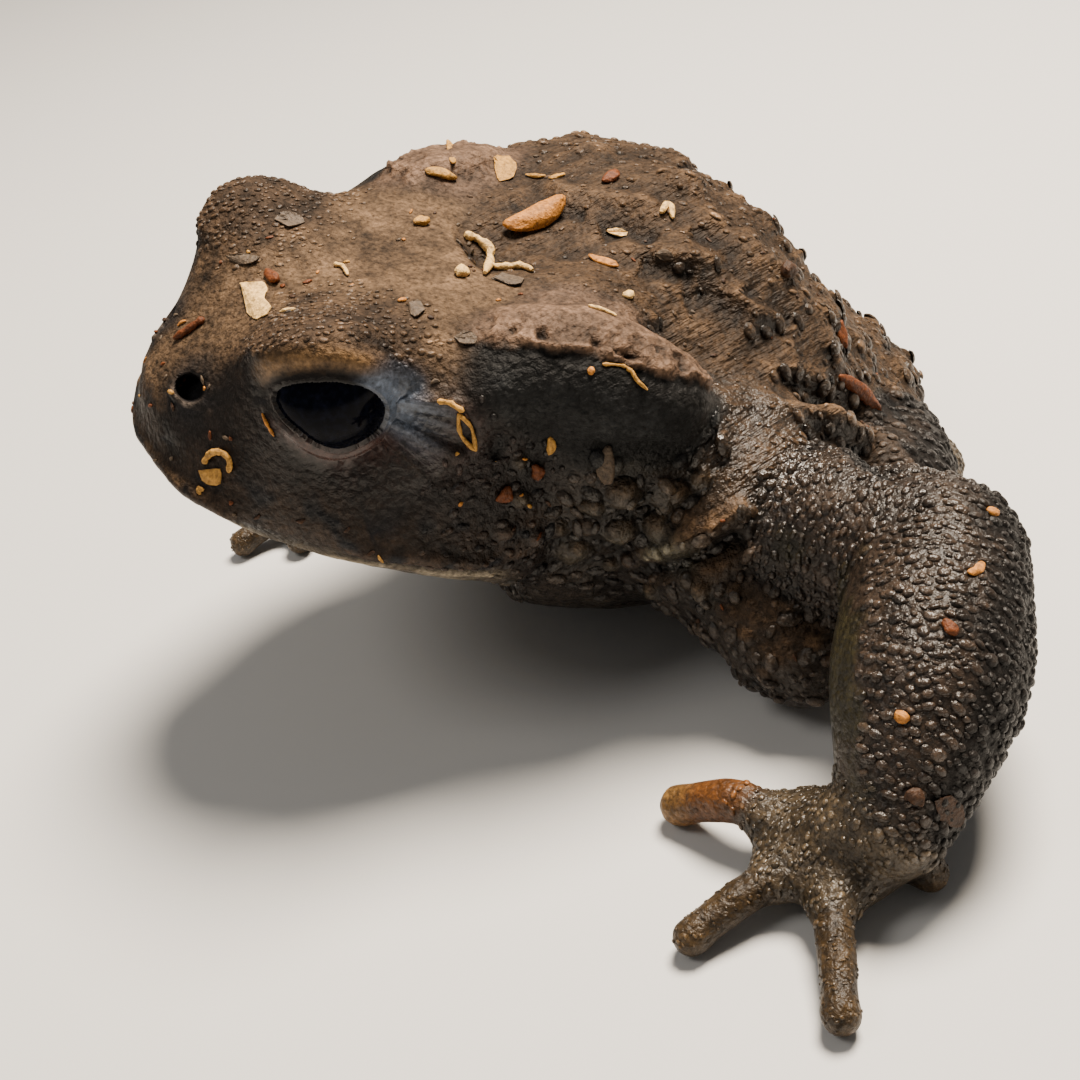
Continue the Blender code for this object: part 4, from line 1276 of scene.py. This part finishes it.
# Both ends, half width in millimetres and colour
GRAINS = (
    ((454, 274), (470, 274), 0.55, CREAM), ((413, 223), (429, 223), 0.52, STRAW),
    ((506, 234), (567, 205), 0.95, AMBER), ((608, 447), (604, 482), 0.62, ASH),
    ((552, 438), (550, 453), 0.30, STRAW), ((537, 463), (538, 478), 0.46, RUST),
    ((499, 501), (511, 488), 0.48, RUST), ((587, 371), (595, 371), 0.28, AMBER),
    ((449, 145), (453, 164), 0.40, STRAW), ((424, 170), (457, 179), 0.48, STRAW),
    ((526, 176), (546, 178), 0.24, STRAW), ((549, 180), (565, 176), 0.27, STRAW),
    ((604, 184), (620, 172), 0.48, RUST), ((590, 258), (617, 268), 0.40, AMBER),
    ((624, 297), (633, 295), 0.36, CREAM), ((280, 312), (295, 310), 0.20, CREAM),
    ((267, 272), (280, 284), 0.42, RUST), ((303, 284), (312, 281), 0.18, RUST),
    ((398, 302), (406, 300), 0.22, AMBER), ((967, 575), (984, 567), 0.34, AMBER),
    ((944, 621), (955, 636), 0.42, RUST), ((896, 712), (909, 722), 0.38, AMBER),
    ((986, 510), (998, 516), 0.32, AMBER), ((906, 790), (924, 800), 0.46, BARK),
    ((838, 322), (843, 350), 0.45, RUST), ((838, 374), (880, 408), 0.60, RUST),
    ((562, 116), (580, 112), 0.9, BARK), ((592, 110), (612, 112), 1.0, BARK),
    ((622, 114), (640, 122), 0.7, RUST), ((780, 265), (790, 280), 0.8, BARK),
)
# The line that each follows, radius and colour
STRANDS = (
    (((463, 237), (476, 241), (488, 250), (490, 262), (484, 276)), 0.32, CREAM),
    (((488, 268), (502, 270), (520, 268), (533, 273)), 0.27, CREAM),
    (((588, 307), (602, 311), (616, 317)), 0.13, CREAM),
    (((334, 266), (343, 268), (348, 277)), 0.18, CREAM),
    (((176, 340), (190, 331), (206, 320)), 0.25, RUST),
    (((660, 214), (668, 206), (672, 220)), 0.25, CREAM),
    (((205, 463), (212, 453), (223, 452), (231, 460), (230, 472)), 0.20, STRAW),
    (((438, 402), (452, 404), (464, 411)), 0.19, STRAW),
    (((459, 413), (472, 426), (476, 450)), 0.15, STRAW),
    (((459, 413), (461, 434), (476, 450)), 0.15, STRAW),
    (((263, 413), (268, 424), (275, 436)), 0.11, AMBER),
    (((602, 365), (620, 366), (630, 371), (636, 380), (647, 390)), 0.12, STRAW),
)
# Outline and colour
FLAKES = (
    (((241, 285), (262, 283), (268, 290), (265, 299), (272, 308), (270, 314), (258, 319), (249, 314),
      (254, 303)), CREAM),
    (((493, 158), (505, 156), (514, 165), (513, 178), (500, 181), (495, 170)), STRAW),
    (((606, 232), (616, 229), (627, 234), (620, 238)), CREAM),
    (((656, 254), (664, 250), (674, 256), (665, 260)), ASH),
    (((202, 471), (220, 469), (222, 483), (206, 484)), STRAW),
    (((492, 279), (508, 276), (524, 279), (516, 288)), ASH),
    (((409, 305), (420, 303), (425, 311), (414, 318)), ASH),
    (((228, 258), (246, 254), (261, 260), (246, 266)), ASH),
    (((274, 219), (290, 214), (304, 222), (288, 229)), ASH),
    (((455, 337), (470, 333), (478, 341), (464, 346)), ASH),
    (((934, 800), (950, 796), (962, 806), (960, 822), (948, 826), (938, 815)), BARK),
    (((912, 872), (928, 864), (936, 870), (934, 886), (922, 892)), RUST),
)


# Scattered crumbs: where, how many and of which colours
CRUMBS = (("head", 90, (RUST, AMBER, STRAW, ASH, BARK)), ("trunk", 60, (BARK, RUST, ASH)))


def add_bit(centre, half, up, width, tone, draw):
    """A rough seed shape that lies along half, its half length, and rests on the skin."""
    bpy.ops.object.select_all(action="DESELECT")
    bpy.ops.mesh.primitive_ico_sphere_add(subdivisions=3 if half.length > 0.5 * MM else 2, radius=1.0)
    bit = bpy.context.object
    ball = points_of(bit)
    lumps = 0.26 * noise(ball + 2.0, (0.9, 0.9, 0.9), draw.randrange(1000))
    lumps += 0.14 * noise(ball, (0.35, 0.5, 0.5), 3)
    ball *= (1 + lumps)[:, None]
    ball[:, 2] += draw.uniform(-0.25, 0.35) * ball[:, 0] ** 2
    ball[:, 1] += draw.uniform(-0.4, 0.4) * ball[:, 0] ** 2
    move_points(bit, ball)
    along = half.normalized()
    side = up.cross(along).normalized()
    top = along.cross(side)
    shape = Matrix((half, side * width * MM, top * 0.7 * width * MM)).transposed().to_4x4()
    bit.data.transform(Matrix.Translation(centre + top * 0.35 * width * MM) @ shape)
    store_tone(bit, tone)
    bit.data.shade_smooth()
    return bit


def add_strand(surface, pixels, radius, tone, draw):
    """A dry fibre that follows the skin."""
    laid = [surface.under(pixel) for pixel in curve_through(pixels, 4)]
    line = [place + normal * radius * 0.8 * MM for place, normal in laid if place]
    curve = bpy.data.curves.new("strand", "CURVE")
    curve.dimensions = "3D"
    curve.bevel_depth = radius * MM
    curve.bevel_resolution = 1
    curve.use_fill_caps = True
    spline = curve.splines.new("POLY")
    spline.points.add(len(line) - 1)
    for point, place in zip(spline.points, line):
        point.co = (*place, 1.0)
        point.radius = draw.uniform(0.7, 1.25)
    spline.points[0].radius = 0.5
    spline.points[-1].radius = 0.4
    strand = bpy.data.objects.new("strand", curve)
    bpy.context.scene.collection.objects.link(strand)
    select_only(strand)
    bpy.ops.object.convert(target="MESH")
    strand = bpy.context.object
    store_tone(strand, tone)
    return strand


def add_flake(surface, pixels, tone, draw):
    """A thin curled flake whose rim touches the skin here and there."""
    laid = []
    for pixel in curve_through(pixels, 3):
        ragged = np.array((draw.uniform(-1, 1), draw.uniform(-1, 1)))
        laid.append(surface.under(pixel + ragged))
    lift = draw.uniform(0, 2 * math.pi)
    rim = []
    for k, (place, normal) in enumerate(laid):
        curl = 0.14 + 0.10 * math.sin(lift + 4 * math.pi * k / len(laid))
        rim.append(place + normal * curl * MM)
    bpy.ops.object.select_all(action="DESELECT")
    bpy.ops.mesh.primitive_circle_add(vertices=len(rim), radius=1.0, fill_type="TRIFAN")
    flake = bpy.context.object
    hub = sum(rim, Vector()) / len(rim)
    move_points(flake, np.array([tuple(place) for place in rim + [hub]]))
    modify(flake, "SOLIDIFY", thickness=0.08 * MM, offset=0.0)
    store_tone(flake, tone)
    return flake


def litter_finish():
    finish = Finish("dry_litter")
    inputs = finish.shader.inputs
    grain = finish.grains(0.3, 3.0).outputs["Fac"]
    tone = finish.attribute("tone").outputs["Color"]
    finish.link(finish.scaled(tone, finish.range(grain, 0.3, 0.7, 0.45, 1.55)), inputs["Base Color"])
    inputs["Roughness"].default_value = 0.6
    inputs["Specular IOR Level"].default_value = 0.3
    finish.link(finish.bump(grain, 0.16), inputs["Normal"])
    return finish.material


def make_litter(skin, zones):
    """Grains, strands and flakes where the photo shows them, and scattered crumbs, as one piece."""
    surface = Surface([skin])
    draw = random.Random(77)
    pieces = []
    for start, end, width, tone in GRAINS:
        first, normal = surface.under(start)
        last, _ = surface.under(end)
        if first and last and (last - first).length < 8 * MM:
            pieces.append(add_bit((first + last) / 2, (last - first) / 2, normal, width, tone, draw))
    for pixels, radius, tone in STRANDS:
        pieces.append(add_strand(surface, pixels, radius, tone, draw))
    for pixels, tone in FLAKES:
        pixels = pixels + pixels[:1]
        if all(surface.under(pixel)[0] for pixel in pixels):
            pieces.append(add_flake(surface, pixels, tone, draw))
    places = points_of(skin)
    normals = normals_of(skin)
    head = in_head(places)
    clear = np.minimum(from_eye(head, 1), from_eye(head, -1)) > CRUMBS_START
    for kind, count, tones in CRUMBS:
        choice = np.flatnonzero((zones[kind] > 0.5) * (normals[:, 2] > -0.1) * clear)
        for _ in range(count):
            index = choice[draw.randrange(len(choice))]
            up = Vector(normals[index])
            half = up.orthogonal().normalized() * draw.uniform(0.12, 0.32) * MM
            half.rotate(Matrix.Rotation(draw.uniform(0, math.pi), 3, up))
            width = draw.uniform(0.09, 0.18)
            pieces.append(add_bit(Vector(places[index]), half, up, width, draw.choice(tones), draw))
    select_only(*pieces)
    bpy.ops.object.join()
    litter = bpy.context.object
    litter.name = "dry_litter"
    litter.data.name = "dry_litter"
    litter.data.materials.clear()
    litter.data.materials.append(litter_finish())
    print("LITTER", len(litter.data.polygons))
    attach(litter, "root")


def eye_finish():
    eye = Finish("eye")
    shader = eye.shader
    iris = eye.grains(0.5, 4.0).outputs["Fac"]
    light = eye.range(iris, 0.45, 0.75, 0.6, 2.0)
    tint = eye.tree.nodes.new("ShaderNodeRGB")
    tint.outputs[0].default_value = (*EYEBALL, 1.0)
    eye.link(eye.scaled(tint.outputs[0], light), shader.inputs["Base Color"])
    shader.inputs["Roughness"].default_value = 0.10
    shader.inputs["IOR"].default_value = 1.22
    shader.inputs["Specular IOR Level"].default_value = 0.18
    return eye.material


def make_eyes():
    finish = eye_finish()
    for side, name in ((1, "left"), (-1, "right")):
        eye = add_ball(head_spot(eye_centre(side)), (EYE_RADIUS,) * 3, "eyeball_" + name)
        eye.data.materials.append(finish)
        eye.data.shade_smooth()
        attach(eye, "root")
        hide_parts("eye_" + name)


def plain(name, colour, roughness):
    finish = Finish(name)
    finish.shader.inputs["Base Color"].default_value = (*colour, 1.0)
    finish.shader.inputs["Roughness"].default_value = roughness
    return finish.material


def make_stage():
    bpy.ops.object.select_all(action="DESELECT")
    bpy.ops.mesh.primitive_plane_add(size=3.0)
    floor = bpy.context.object
    floor.name = "floor"
    floor.data.materials.append(plain("pale_floor", FLOOR, 0.7))


def add_light(name, place, aim, side, power, colour):
    light = bpy.data.lights.new(name, "AREA")
    light.shape = "DISK"
    light.size = side
    light.energy = power
    light.color = colour
    lamp = bpy.data.objects.new(name, light)
    bpy.context.scene.collection.objects.link(lamp)
    lamp.location = place
    lamp.rotation_euler = (aim - lamp.location).to_track_quat("-Z", "Y").to_euler()


def make_lights():
    aim = body_spot((8.0, -20.0, 12.0))
    overhead = aim + 0.10 * VIEW.right - 0.10 * VIEW.back + Vector((0.0, 0.0, 0.40))
    add_light("overhead", overhead, aim, 0.16, 5.6, OVERHEAD_LIGHT)
    front = aim - 0.30 * VIEW.right + 0.16 * VIEW.back + Vector((0.0, 0.0, 0.30))
    add_light("front", front, aim, 0.20, 0.7, FRONT_LIGHT)
    world = bpy.data.worlds.new("studio")
    world.use_nodes = True
    background = world.node_tree.nodes["Background"]
    background.inputs["Color"].default_value = (*ROOM_LIGHT, 1.0)
    background.inputs["Strength"].default_value = 0.20
    bpy.context.scene.world = world


def make_camera():
    camera = bpy.data.cameras.new("camera")
    camera.sensor_width = 36.0
    camera.lens = 18.0 / math.tan(math.radians(CAMERA_ANGLE) / 2)
    camera.clip_start = 0.001
    holder = bpy.data.objects.new("camera", camera)
    holder.matrix_world = VIEW.matrix()
    bpy.context.scene.collection.objects.link(holder)
    bpy.context.scene.camera = holder


make_camera()
make_lights()
make_stage()
make_skin()
make_eyes()
